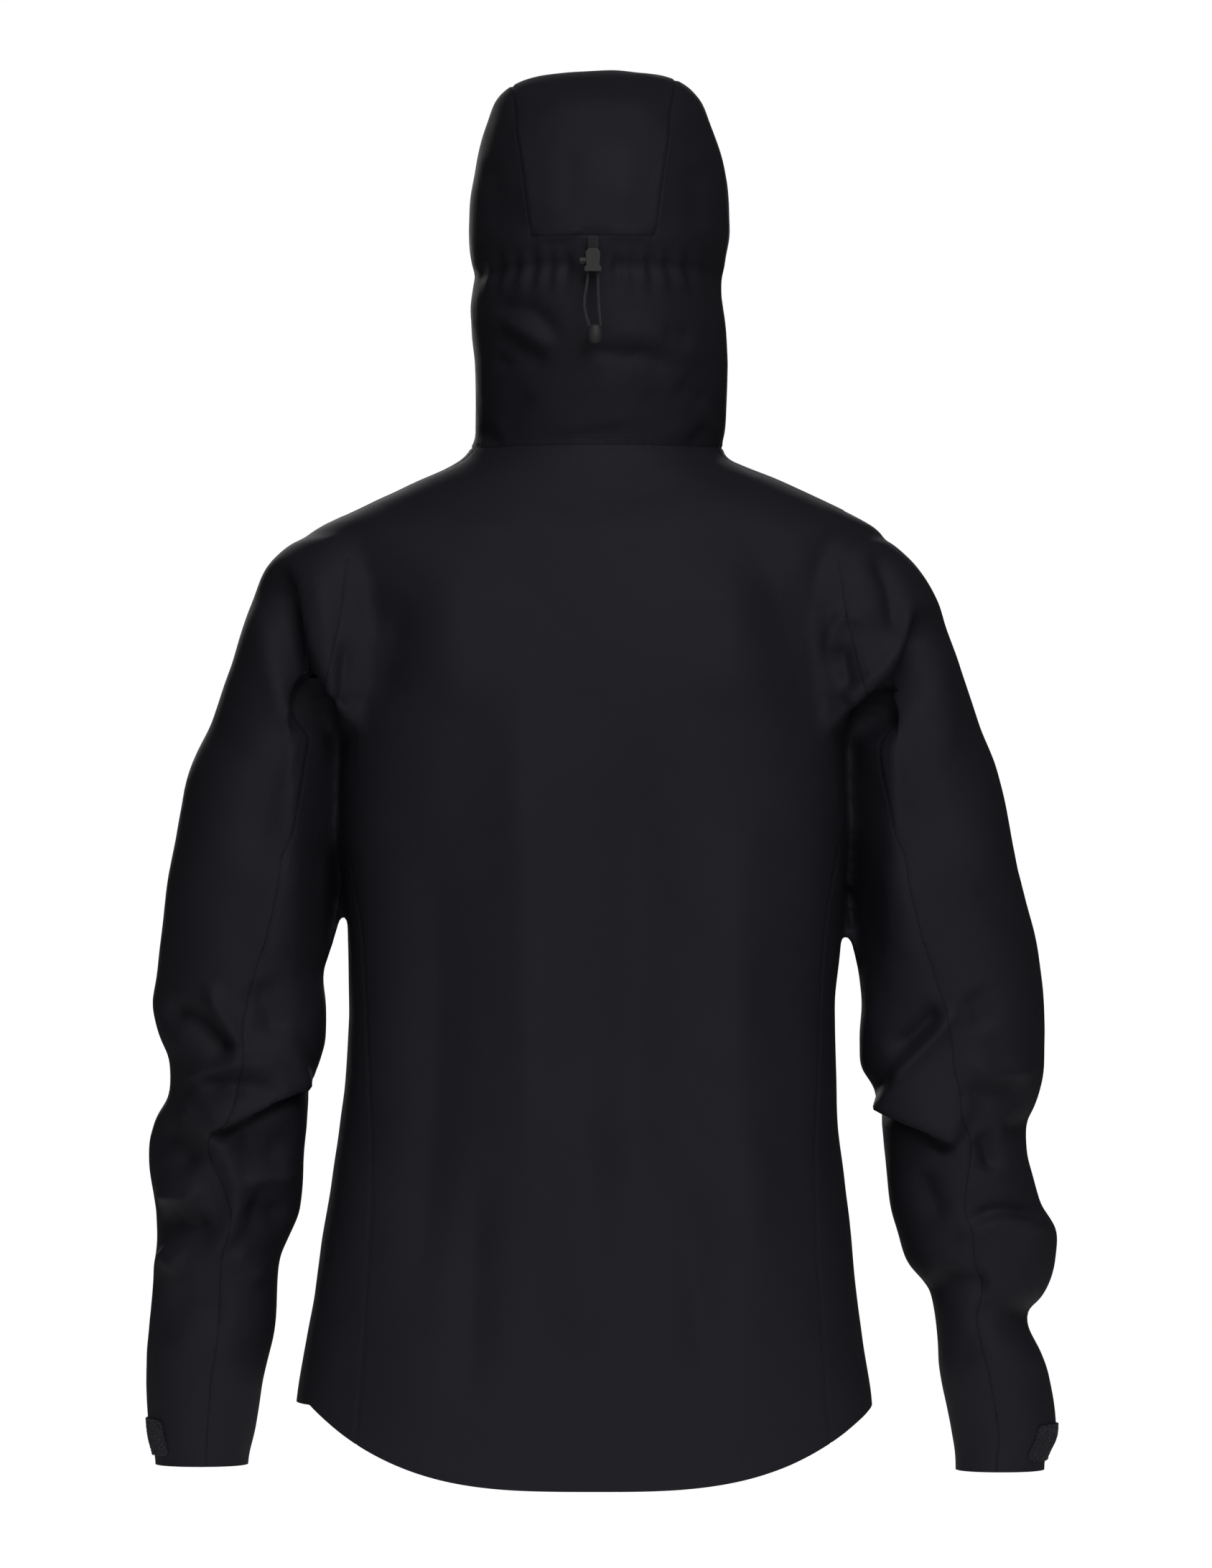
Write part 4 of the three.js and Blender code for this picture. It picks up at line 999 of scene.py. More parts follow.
def at(side, *points):
    """The same line on the wearer's left (1) or right (-1)."""
    return [(side * x, z) for x, z in points]


def beside(p, line):
    """For each point: how far along the line its nearest place is, from 0 to 1, and how far it lies
    off the line, positive on the left of the line's direction."""
    x = p[:, [0, 2]]
    starts, ends = line[:-1], line[1:]
    lengths = np.linalg.norm(ends - starts, axis=1)
    before = np.concatenate([[0], np.cumsum(lengths)])
    best = np.full(len(p), np.inf)
    along, off = np.zeros(len(p)), np.full(len(p), 1e3)
    for a, b, length, run in zip(starts, ends, lengths, before):
        d = (b - a) / length
        t = np.clip((x - a) @ d, 0, length)
        delta = x - a - t[:, None] * d
        far = np.linalg.norm(delta, axis=1)
        nearer = far < best
        best[nearer] = far[nearer]
        along[nearer] = (run + t[nearer]) / before[-1]
        side = np.sign(d[0] * delta[:, 1] - d[1] * delta[:, 0])
        off[nearer] = (far * side)[nearer]
    return along, off


def fade(along, ends):
    """1 in the middle of a line, falling to 0 over a share of it at each end."""
    return smoothstep(along / ends[0]) * smoothstep((1 - along) / ends[1])


DEEPER = {"sleeve": 1.6, "both": 1.6, "body": 2.8, "hood": 0.8}  # how strongly each part is folded


class Folds:
    """Adds up how far each point of the skin moves out, and down, for every fold."""

    def __init__(self, skin):
        self.p, self.n = skin.points, skin.normals
        self.out = np.zeros(len(self.p))
        self.down = np.zeros(len(self.p))
        ny = self.n[:, 1]
        back, front = smoothstep((ny + 0.25) / 0.5), smoothstep((0.25 - ny) / 0.5)
        self.faces = {"back": back, "front": front, "all": 1.0}
        off_armhole = armhole_field(self.p)
        low = self.p[:, 2] < SLEEVE_TOP
        self.parts = {
            "sleeve": np.where(low, smoothstep(off_armhole / 8), 0),
            "body": np.where(low, smoothstep(-off_armhole / 8 + 1), 1) * (self.p[:, 2] < NECK + 6),
            "hood": smoothstep((self.p[:, 2] - NECK + 14) / 20),
            "both": np.ones(len(self.p)),
        }

    def add(self, points, height, left, right=None, face="back", part="both", ends=(0.3, 0.3), sink=0.0):
        """One fold along a line: its height (a valley's is negative) and its width on each side of the line.
        sink adds a shadow line below an overhanging edge and lets its upper side hang down."""
        right = left if right is None else right
        line = fold_line(points)
        room = 4 * max(left, right)
        low, high = line.min(axis=0) - room, line.max(axis=0) + room
        x, z = self.p[:, 0], self.p[:, 2]
        near = (x > low[0]) & (x < high[0]) & (z > low[1]) & (z < high[1])
        mask = np.broadcast_to(self.faces[face], len(x))[near] * self.parts[part][near]
        along, off = beside(self.p[near], line)
        width = np.where(off > 0, left, right)
        shape = np.exp(-np.abs(off / width) ** 1.7)
        mask = fade(along, ends) * mask
        height = height * DEEPER[part]
        self.out[near] += height * shape * mask
        if sink:
            trough = np.exp(-(((off + 1.9 * right) / (1.1 * right)) ** 2))
            self.out[near] -= sink * trough * mask
            self.down[near] += 0.55 * sink * np.exp(-np.abs(off / (0.6 * left))) * mask * (off > -right)


def sleeve_folds(folds):
    def back(points, *args, **kw):
        folds.add(points, *args, part="sleeve", **kw)

    # Left elbow: a bulge that hangs over a deep fold, ridges that run down to it and on into the forearm.
    back([(205, 305), (226, 298), (256, 280), (288, 263)], 9, 24, 5, sink=9, ends=(0.16, 0.2))
    back([(286, 374), (272, 346), (256, 319)], 5, 6, ends=(0.35, 0.2))
    back([(322, 348), (303, 346), (281, 331), (263, 314)], -7, 10, ends=(0.2, 0.2))
    back([(246, 376), (236, 348), (232, 326)], -5, 13)
    back([(306, 299), (280, 308), (258, 314), (224, 312)], 4, 6)
    back([(294, 295), (262, 297), (230, 299)], -6, 7)
    back([(305, 287), (284, 261), (268, 240), (263, 214), (271, 184), (288, 156)], 6, 8, 9, ends=(0.12, 0.25))
    back([(330, 264), (308, 250), (293, 228)], -6, 14)
    back([(326, 216), (302, 214), (282, 215)], 5, 8)
    back([(322, 197), (298, 192), (279, 197)], -6, 9)
    back([(322, 172), (302, 160)], 4, 9)
    back([(266, 262), (242, 251), (220, 242)], -5, 13)
    back([(262, 224), (240, 227), (216, 227)], 5, 7)
    back([(258, 206), (238, 200), (222, 196)], -6, 10)
    back([(270, 174), (252, 161), (240, 150)], 4, 9)
    back([(320, 138), (296, 132), (262, 130)], -3, 13)
    back([(324, 112), (290, 98), (250, 98)], 2.4, 16)
    # Right elbow.
    back([(-274, 254), (-252, 266), (-228, 279), (-208, 291)], 9, 24, 5, sink=9, ends=(0.2, 0.16))
    back([(-270, 354), (-246, 326), (-220, 298)], 5, 6, ends=(0.3, 0.2))
    back([(-258, 356), (-236, 334), (-214, 318)], -6, 9)
    back([(-276, 366), (-284, 352), (-290, 334)], -3.5, 10)
    back([(-330, 310), (-296, 303), (-268, 315)], 4, 9)
    back([(-322, 295), (-292, 291), (-268, 296)], -4.5, 8)
    back([(-282, 262), (-292, 246), (-295, 228)], -6, 8)
    back([(-334, 268), (-314, 262), (-300, 268)], -4, 9)
    back([(-266, 180), (-296, 194), (-342, 189)], 4.5, 8)
    back([(-272, 193), (-300, 202), (-336, 198)], -5, 6)
    back([(-236, 236), (-246, 214), (-258, 190)], -4, 12)
    back([(-246, 153), (-272, 148), (-296, 150)], -5, 9)
    back([(-334, 128), (-306, 126), (-276, 134)], -4, 12)
    back([(-338, 98), (-306, 92), (-274, 100)], 3, 15)
    # Long pulls on the upper sleeves.
    for side in (1, -1):
        back(at(side, (214, 592), (236, 520), (252, 440)), -4, 18, ends=(0.25, 0.4))
        back(at(side, (276, 560), (288, 500), (290, 430)), 2.5, 22)
        back(at(side, (222, 470), (232, 420), (236, 372)), 2.6, 13)
        # In front: the crook of the elbow and pulls up to the armhole.
        front = dict(face="front", part="sleeve")
        folds.add(at(side, (206, 322), (246, 330), (300, 344)), -9, 9, ends=(0.15, 0.35), **front)
        folds.add(at(side, (206, 346), (250, 354), (304, 372)), 6, 15, ends=(0.2, 0.35), **front)
        folds.add(at(side, (212, 298), (256, 304), (312, 306)), 5, 14, ends=(0.2, 0.3), **front)
        folds.add(at(side, (220, 272), (262, 280), (318, 276)), -5, 9, ends=(0.2, 0.35), **front)
        folds.add(at(side, (204, 380), (240, 392), (280, 414)), -4, 9, ends=(0.15, 0.4), **front)
        folds.add(at(side, (236, 214), (280, 222), (320, 212)), 3, 15, **front)
        folds.add(at(side, (246, 152), (280, 164), (320, 158)), -3, 12, **front)
        folds.add(at(side, (262, 92), (292, 104), (326, 100)), 2.4, 14, **front)
        folds.add(at(side, (196, 560), (226, 496), (240, 430)), -5, 14, ends=(0.2, 0.4), **front)
        folds.add(at(side, (226, 600), (262, 540), (276, 460)), 3, 22, **front)


def armpit_folds(folds):
    # Left shoulder: a valley from the shoulder's corner to the armpit, and the tongue of cloth inside it.
    folds.add([(233, 684), (228, 652), (219, 614), (206, 580), (193, 553)], -19, 15, 7, ends=(0.25, 0.16))
    folds.add([(252, 664), (243, 628), (231, 590), (216, 546)], 3, 12, ends=(0.3, 0.2))
    folds.add([(206, 680), (200, 650), (194, 615), (190, 575)], 2.2, 9, ends=(0.3, 0.1))
    folds.add([(181, 626), (183, 600), (186, 572)], -3.2, 5, ends=(0.4, 0.05))
    folds.add([(136, 660), (146, 626), (154, 596), (160, 560)], -3, 17, ends=(0.35, 0.35))
    folds.add([(162, 640), (168, 606), (171, 574)], 1.6, 9)
    # Right shoulder: the tongue's lower edge hangs over the sleeve, with a small hollow beside the body.
    folds.add([(-241, 652), (-239, 622), (-228, 594), (-208, 573), (-189, 555)], -16, 6, 14, ends=(0.3, 0.16))
    folds.add([(-236, 656), (-229, 626), (-216, 604), (-200, 590), (-184, 574)], 3.6, 7, ends=(0.25, 0.1))
    folds.add([(-204, 694), (-217, 666), (-222, 640), (-224, 618)], -4.5, 8, ends=(0.3, 0.3))
    folds.add([(-172, 600), (-174, 622), (-182, 637), (-196, 638), (-208, 626)], 2.6, 6, ends=(0.3, 0.3))
    folds.add([(-180, 622), (-184, 604), (-188, 584)], -4.2, 6, ends=(0.3, 0.2))
    folds.add([(-254, 640), (-258, 590), (-262, 520)], 2.6, 14, ends=(0.3, 0.3))
    folds.add([(-96, 732), (-116, 696), (-136, 650), (-157, 578), (-176, 536)], -3.2, 22, ends=(0.3, 0.25))
    folds.add([(-140, 700), (-164, 650), (-174, 604)], 2.0, 15, ends=(0.3, 0.3))
    # In front: the same armholes seen from the other side.
    for side in (1, -1):
        front = dict(face="front")
        folds.add(at(side, (232, 650), (214, 606), (200, 556), (192, 508)), -8, 10, ends=(0.2, 0.2), **front)
        folds.add(at(side, (150, 690), (166, 640), (178, 590)), 3.5, 13, **front)
        folds.add(at(side, (128, 600), (152, 560), (176, 520)), -4, 13, ends=(0.35, 0.2), **front)
        folds.add(at(side, (182, 600), (182, 556), (184, 512)), 5, 10, ends=(0.2, 0.3), **front)


def body_folds(folds):
    def body(points, *args, **kw):
        folds.add(points, *args, part="body", **kw)

    body([(58, 640), (50, 480), (46, 300), (54, 150)], 3.0, 26, ends=(0.3, 0.3))
    body([(-28, 600), (-34, 430), (-30, 260), (-42, 120)], -3.2, 30, ends=(0.3, 0.3))
    body([(122, 500), (116, 360), (124, 200), (132, 90)], -2.6, 24, ends=(0.3, 0.3))
    body([(-112, 520), (-104, 380), (-112, 220), (-124, 80)], 2.8, 26, ends=(0.3, 0.3))
    body([(8, 330), (4, 200), (10, 70)], 2.0, 22)
    body([(-66, 240), (-78, 130), (-84, 50)], -2.2, 18)
    body([(84, 250), (88, 140), (92, 50)], -2.2, 18)
    # A fold below the neck, and the shoulder blades.
    body([(66, 742), (20, 726), (-30, 728), (-78, 744)], -0.7, 14)
    body([(96, 690), (104, 620), (92, 560)], 2.4, 34)
    body([(-96, 690), (-104, 620), (-94, 560)], 2.0, 34)
    for side in (1, -1):
        front = dict(face="front")
        body(at(side, (72, 620), (68, 460), (74, 300)), 2.4, 20, ends=(0.3, 0.3), **front)
        body(at(side, (150, 470), (142, 340), (150, 200)), -2.6, 18, ends=(0.3, 0.3), **front)
        body(at(side, (60, 200), (70, 130), (66, 70)), -1.8, 18, **front)


def hood_folds(folds):
    def hood(points, *args, **kw):
        folds.add(points, *args, part="hood", **kw)

    # The gathered line, with small puckers above and below it.
    hood([(92, 893), (46, 895), (0, 896), (-46, 895), (-98, 893)], -4.0, 6, ends=(0.02, 0.02))
    for x, tilt, size in (
        (84, 5, 1.7), (70, 3, 2.4), (58, 4, 2.0), (45, 2, 2.7), (32, 2, 2.0), (20, 1, 2.5),
        (-18, -1, 2.4), (-30, -2, 2.0), (-43, -2, 2.7), (-57, -3, 2.1), (-71, -4, 2.5), (-86, -4, 1.8),
    ):
        hood([(x - tilt, 915), (x, 897), (x + tilt, 868)], -size, 4.0, ends=(0.3, 0.45))
        hood([(x + 6 - tilt, 910), (x + 6, 894), (x + 6 + tilt, 874)], 0.8 * size, 3.6, ends=(0.35, 0.45))
    # The crown's seams, its cross ridge and its flat back.
    hood([(56, 1010), (50, 968), (45, 920)], 1.8, 5, ends=(0.15, 0.1))
    hood([(-57, 1004), (-51, 966), (-45, 920)], 1.8, 5, ends=(0.15, 0.1))
    hood([(52, 1012), (0, 1017), (-54, 1010)], 2.0, 8, face="all")
    hood([(44, 917), (0, 920), (-42, 917)], 2.2, 4, ends=(0.1, 0.1))
    hood([(40, 912), (0, 913), (-40, 912)], -1.6, 4, ends=(0.1, 0.1))
    hood([(24, 990), (16, 960), (22, 930)], -2.2, 11)
    hood([(-20, 996), (-26, 962), (-18, 932)], 1.6, 12)
    hood([(78, 980), (72, 950), (76, 920)], -3.0, 10)
    hood([(-80, 976), (-76, 946), (-82, 920)], -3.0, 10)
    # Left of the lower hood: two valleys that meet under a dip, and the fold between them.
    hood([(76, 870), (62, 866), (48, 864), (28, 846), (20, 838)], -5.0, 6, 8, ends=(0.2, 0.3))
    hood([(72, 852), (62, 842), (50, 832), (30, 826)], -4.6, 7, 6, ends=(0.2, 0.3))
    hood([(70, 860), (54, 852), (38, 842), (26, 833)], 4.0, 6, ends=(0.25, 0.3))
    hood([(74, 832), (66, 826), (60, 822)], -3.5, 6)
    # Right.
    hood([(12, 834), (-16, 831), (-42, 829), (-66, 816)], -5.0, 7, 6, ends=(0.2, 0.3))
    hood([(-10, 846), (-36, 846), (-62, 838), (-84, 822)], 3.6, 8, ends=(0.25, 0.3))
    hood([(-48, 846), (-62, 844), (-74, 842)], -3.4, 8)
    hood([(-60, 812), (-74, 802), (-86, 796)], -2.8, 7)
    # The smooth cone below them, and puckers at the neck seam.
    hood([(6, 824), (4, 800), (0, 772)], 3.4, 26, ends=(0.35, 0.2))
    hood([(86, 782), (78, 772), (66, 764)], -3.0, 6)
    hood([(-84, 784), (-78, 772), (-68, 764)], -2.6, 6)
    hood([(44, 806), (58, 790), (70, 776)], -2.2, 9)
    hood([(-36, 808), (-52, 790), (-64, 774)], -2.2, 9)
    # In front: the sides of the hood beside the face opening.
    for side in (1, -1):
        front = dict(face="front")
        hood(at(side, (96, 930), (90, 880), (92, 840)), -3, 9, **front)
        hood(at(side, (88, 868), (80, 850), (76, 836)), -2.2, 6, **front)


def fabric_drift(p):
    """Broad, shallow unevenness of filled cloth, from a few crossing waves."""
    total = np.zeros(len(p))
    for length, strength, way, turn in (
        (118, 0.9, (0.8, 0.3, 0.5), 0.4),
        (83, 0.8, (-0.5, 0.6, 0.62), 1.9),
        (61, 0.55, (0.3, -0.8, 0.52), 3.1),
        (47, 0.42, (0.9, 0.2, -0.38), 4.4),
        (34, 0.26, (-0.62, -0.3, 0.72), 5.2),
        (23, 0.16, (0.45, 0.72, 0.53), 0.9),
    ):
        bend = 0.9 * np.sin(2 * np.pi * (p @ np.array(way[::-1])) / (length * 2.3) + turn)
        total += strength * np.sin(2 * np.pi * (p @ np.array(way)) / length + turn + bend)
    return total


def fold_skin(skin):
    """Moves the whole skin into its folds, and leaves the zips and their borders straight."""
    folds = Folds(skin)
    sleeve_folds(folds)
    armpit_folds(folds)
    body_folds(folds)
    hood_folds(folds)
    p = skin.points
    calm = np.ones(len(p))
    front = p[:, 1] < -40
    calm = np.where(front & (p[:, 2] < COLLAR_TOP + 20), smoothstep((np.abs(p[:, 0]) - 16) / 26), calm)
    in_pocket = np.maximum(np.abs(np.abs(p[:, 0]) - POCKET_X) - 14, np.abs(p[:, 2] - 323) - 104)
    pocket_calm = np.minimum(calm, smoothstep(in_pocket / 22))
    calm = np.where(front & (p[:, 2] < SIDE_PANEL_TOP) & ~in_sleeve(p), pocket_calm, calm)
    cuff = smoothstep((p[:, 2] - 52) / 40)
    calm = np.where(in_sleeve(p), np.minimum(calm, 0.15 + 0.85 * cuff), calm)
    tab = np.hypot(p[:, 0] / 12, (p[:, 2] - 904) / 17) - 1
    calm = np.where((p[:, 1] > 60) & (p[:, 2] > 860), np.minimum(calm, smoothstep(tab / 0.6)), calm)
    drift = fabric_drift(p) * np.where(in_body(p), 0.25, 0.45)
    out = (folds.out + drift) * calm
    skin.points = p + out[:, None] * skin.normals
    skin.points[:, 2] -= folds.down * calm
    skin.points = relax(skin.points, skin.triangles, 1, np.where(skin.locked, 0.0, 0.5))


def finish_skin(skin):
    """Draws the seams in a little and settles the normals that all pieces share."""
    normals = normals_of(skin.points, skin.triangles)
    skin.points = skin.points - np.where(skin.groove, 0.9, 0)[:, None] * normals
    skin.normals = normals_of(skin.points, skin.triangles)


# ---- Fabric pieces ----


def shell(name, skin, chosen, material, thick=FABRIC, inset=0.0):
    """A sheet of cloth cut out of the skin: outer face, inner face and a rounded edge."""
    triangles = skin.triangles[chosen]
    used, local = np.unique(triangles, return_inverse=True)
    triangles = local.reshape(-1, 3)
    n = skin.normals[used]
    outer = skin.points[used] - inset * n
    inner = outer - thick * n
    count = len(used)
    directed = np.vstack([triangles[:, [0, 1]], triangles[:, [1, 2]], triangles[:, [2, 0]]])
    keys = directed[:, 0] * count + directed[:, 1]
    twins = directed[:, 1] * count + directed[:, 0]
    rim = directed[~np.isin(keys, twins)]
    rim_points, where = np.unique(rim, return_inverse=True)
    where = where.reshape(-1, 2)
    middle = (outer[rim_points] + inner[rim_points]) / 2
    edge = outer[rim[:, 1]] - outer[rim[:, 0]]
    away = np.cross(edge, n[rim[:, 0]])
    push = np.zeros((len(rim_points), 3))
    for k in range(2):
        np.add.at(push, where[:, k], away)
    push /= np.maximum(np.linalg.norm(push, axis=1), 1e-9)[:, None]
    bulge = 0.3 * thick if not inset else 0.2 * thick
    middle = middle + bulge * push * 0.5
    points = np.vstack([outer, inner, middle])
    a, b = rim[:, 0], rim[:, 1]
    ma, mb = where[:, 0] + 2 * count, where[:, 1] + 2 * count
    faces = np.vstack([
        triangles, triangles[:, ::-1] + count,
        np.stack([b, a, ma], 1), np.stack([b, ma, mb], 1),
        np.stack([mb, ma, a + count], 1), np.stack([mb, a + count, b + count], 1),
    ])
    mesh = bpy.data.meshes.new(name)
    mesh.vertices.add(len(points))
    mesh.vertices.foreach_set("co", to_row(points).ravel())
    mesh.loops.add(3 * len(faces))
    mesh.loops.foreach_set("vertex_index", faces.ravel().astype(np.int32))
    mesh.polygons.add(len(faces))
    mesh.polygons.foreach_set("loop_start", np.arange(0, 3 * len(faces), 3, dtype=np.int32))
    mesh.polygons.foreach_set("use_smooth", np.ones(len(faces), bool))
    mesh.update(calc_edges=True)
    mesh.validate()
    seam = np.concatenate([skin.seam[used]] * 2 + [skin.seam[used][rim_points]]) * MM
    mesh.attributes.new("seam", "FLOAT", "POINT").data.foreach_set("value", seam.astype(np.float32))
    split = np.zeros((len(faces) * 3, 3))
    flat = faces.ravel()
    outer_loops = np.arange(3 * len(triangles))
    split[outer_loops] = n[flat[outer_loops]]
    inner_loops = outer_loops + 3 * len(triangles)
    split[inner_loops] = -n[flat[inner_loops] - count]
    mesh.normals_split_custom_set([tuple(v) for v in split])
    mesh.materials.append(material)
    made = bpy.data.objects.new(name, mesh)
    bpy.context.scene.collection.objects.link(made)
    area = np.linalg.norm(np.cross(
        outer[triangles[:, 1]] - outer[triangles[:, 0]], outer[triangles[:, 2]] - outer[triangles[:, 0]]
    ), axis=1).sum() / 2
    made["tall"] = float(np.ptp(outer[:, 2]) * MM)
    made["area"] = float(area * MM * MM)
    return made


def declare(piece, nodes):
    """Hides the CAD nodes that a sheet stands for, and drops the size that it was cut to."""
    if nodes:
        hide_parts(*nodes)
    del piece["tall"], piece["area"]


def follow(piece, ring):
    """Bakes a piece's placement into its mesh and finds each point's distance from the sewn line that it
    hangs from.
    """
    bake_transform(piece)
    tree = KDTree(len(ring))
    for k, place in enumerate(ring):
        tree.insert(place, k)
    tree.balance()
    far_off = np.array([tree.find(v.co)[2] for v in piece.data.vertices])


def make_garment():
    points, triangles = make_base_skin()
    points = relax(points, triangles, 5)
    at_armhole = np.exp(-((armhole_field(points) / 16) ** 2)) * smoothstep((points[:, 2] - 430) / 40)
    at_neck = 0.3 * np.exp(-(((points[:, 2] - NECK) / 9) ** 2))
    weight = np.where(points[:, 2] < SLEEVE_TOP, at_armhole, 0)
    points = relax(points, triangles, 9, np.maximum(weight, at_neck))
    skin = Skin(points, triangles)
    cut_seams(skin)
    base = Skin(skin.points.copy(), skin.triangles.copy())
    c = base.centres()
    regions = label_regions(c)
    fold_skin(skin)
    finish_skin(skin)
    return base, skin, regions


def label_regions(c):
    """Which piece each triangle belongs to, by the side of each seam on which its middle lies."""
    sleeve, hood = in_sleeve(c), in_hood(c)
    body = ~sleeve & ~hood
    kept = np.where(body, hem_field(c) > 0, np.where(sleeve, cuff_foot_field(c) > 0, True))
    front = c[:, 1] < FRONT_Y
    hole = hood & front & (face_field(c) < 0)
    zip_gap = front & (np.abs(c[:, 0]) < ZIP_SLOT_HALF) & ~hole & (c[:, 2] < COLLAR_TOP)
    pocket_gap = body & front & (pocket_field(c) < 0)
    kept = kept & ~hole
    shown = kept & ~zip_gap & ~pocket_gap
    left = c[:, 0] > 0
    side = body & (side_field(c) > 0) & (c[:, 2] < SIDE_PANEL_TOP)
    behind = c[:, 1] > np.where(c[:, 2] > 640, SHOULDER_SEAM_Y, -20)
    collar = hood & (c[:, 2] < COLLAR_TOP) & (c[:, 1] < COLLAR_BACK_Y)
    crown = hood & (c[:, 2] > CREASE) & (crown_side_field(c) < 0) & ((c[:, 1] > 0) | (c[:, 2] > FACE_HIGH))
    upper = c[:, 2] > SLEEVE_CUT
    cuff = cuff_seam_field(c) < 0
    outer = sleeve_seam_field(c) > 0
    region = {"back_panel": shown & body & ~side & behind}
    for name, mine in (("left", left), ("right", ~left)):
        region[f"front_panel_{name}"] = shown & body & ~side & ~behind & mine
        region[f"side_panel_{name}"] = shown & side & mine
        region[f"collar_{name}"] = shown & collar & mine
        region[f"upper_sleeve_outer_{name}"] = shown & sleeve & upper & outer & mine
        region[f"upper_sleeve_under_{name}"] = shown & sleeve & upper & ~outer & mine
        region[f"forearm_outer_{name}"] = shown & sleeve & ~upper & ~cuff & outer & mine
        region[f"forearm_under_{name}"] = shown & sleeve & ~upper & ~cuff & ~outer & mine
        region[f"cuff_band_{name}"] = shown & sleeve & cuff & mine
    region["hood_crown_panel"] = shown & crown
    region["hood_wrap_panel"] = shown & hood & ~collar & ~crown
    region["hem_tunnel"] = shown & body & (hem_tunnel_field(c) < 0)
    edge = (face_edge_field(c) < 0) & front
    region["face_edge_tunnel"] = shown & hood & edge & (c[:, 2] > COLLAR_TOP)
    region["hood_cord_channel"] = shown & hood & (channel_field(c) < 0) & ~edge
    region["neck_label"] = hood & (c[:, 1] > 0) & (label_field(c) < 0)
    region["chin_guard"] = kept & hood & front & (chin_field(c) < 0)
    region["storm_flap"] = kept & front & (flap_field(c) < 0) & (c[:, 2] < COLLAR_TOP - 4) & ~sleeve
    bag = kept & body & front & (bag_field(c) < 0) & (c[:, 2] < SIDE_PANEL_TOP)
    for name, mine in (("left", left), ("right", ~left)):
        region[f"pocket_bag_{name}"] = bag & mine
        region[f"cuff_loop_patch_{name}"] = sleeve & mine & (patch_field(c) < 0)
        region[f"cuff_hook_patch_{name}"] = sleeve & mine & (hook_field(c) < 0)
        region[f"cuff_tab_{name}"] = sleeve & mine & (cuff_tab_field(c) < 0)
    return region


base, skin, regions = make_garment()

# Trims: material, slot, how deep they lie inside the shell's outer face (negative: outside), thickness.
LAYERS = {
    "hem_tunnel": (LINING, "lining_fabric", 1.4, 0.8),
    "face_edge_tunnel": (LINING, "lining_fabric", 1.4, 0.8),
    "hood_cord_channel": (LINING, "lining_fabric", 1.4, 0.8),
    "neck_label": (LINING, "lining_fabric", 1.4, 0.6),
    "chin_guard": (LINING, "lining_fabric", 7.6, 1.2),
    "storm_flap": (LINING, "lining_fabric", 6.0, 1.0),
    "pocket_bag": (LINING, "lining_fabric", 5.6, 0.8),
    "cuff_loop_patch": (PILE, "cuff_pile", -1.5, 1.3),
    "cuff_hook_patch": (PILE, "cuff_pile", -2.8, 1.1),
    "cuff_tab": (SHELL, "shell_fabric", -4.4, 1.4),
}


def raise_pile(piece):
    """Gives a patch a tangled, uneven pile on its outer side."""
    apply_modifier(piece, "SUBSURF", subdivision_type="SIMPLE", levels=3, render_levels=3)
    mesh = piece.data
    count = len(mesh.vertices)
    p, n = np.empty(count * 3), np.empty(count * 3)
    mesh.vertices.foreach_get("co", p)
    mesh.vertices.foreach_get("normal", n)
    p, n = p.reshape(-1, 3), n.reshape(-1, 3)
    rough = np.zeros(count)
    for k, (pitch, size) in enumerate(((0.0031, 0.5), (0.0019, 0.55), (0.0012, 0.5))):
        turn = 1.7 * k
        a = np.sin(2 * np.pi * (p[:, 0] + 0.7 * p[:, 1]) / pitch + turn + 2.2 * np.sin(410 * p[:, 2] + turn))
        sway = 2.4 * np.sin(530 * p[:, 0] - 380 * p[:, 1])
        b = np.sin(2 * np.pi * (p[:, 2] - 0.4 * p[:, 1]) / pitch - turn + sway)
        rough += size * a * b
    outward = (n * (p - p.mean(axis=0) + np.array([0, 0.02, 0]))).sum(axis=1)
    p += (np.where(outward > 0, 0.55 * rough, 0) * MM)[:, None] * n
    mesh.vertices.foreach_set("co", p.ravel())
    mesh.update()
    apply_modifier(piece, "DECIMATE", ratio=0.75)


ON_LINE = 0.05  # points this close to a seam belong to it


def ring_where(test):
    """Places of the seam points that pass a test on the unfolded skin, in the frame."""
    return to_row(skin.points[test])


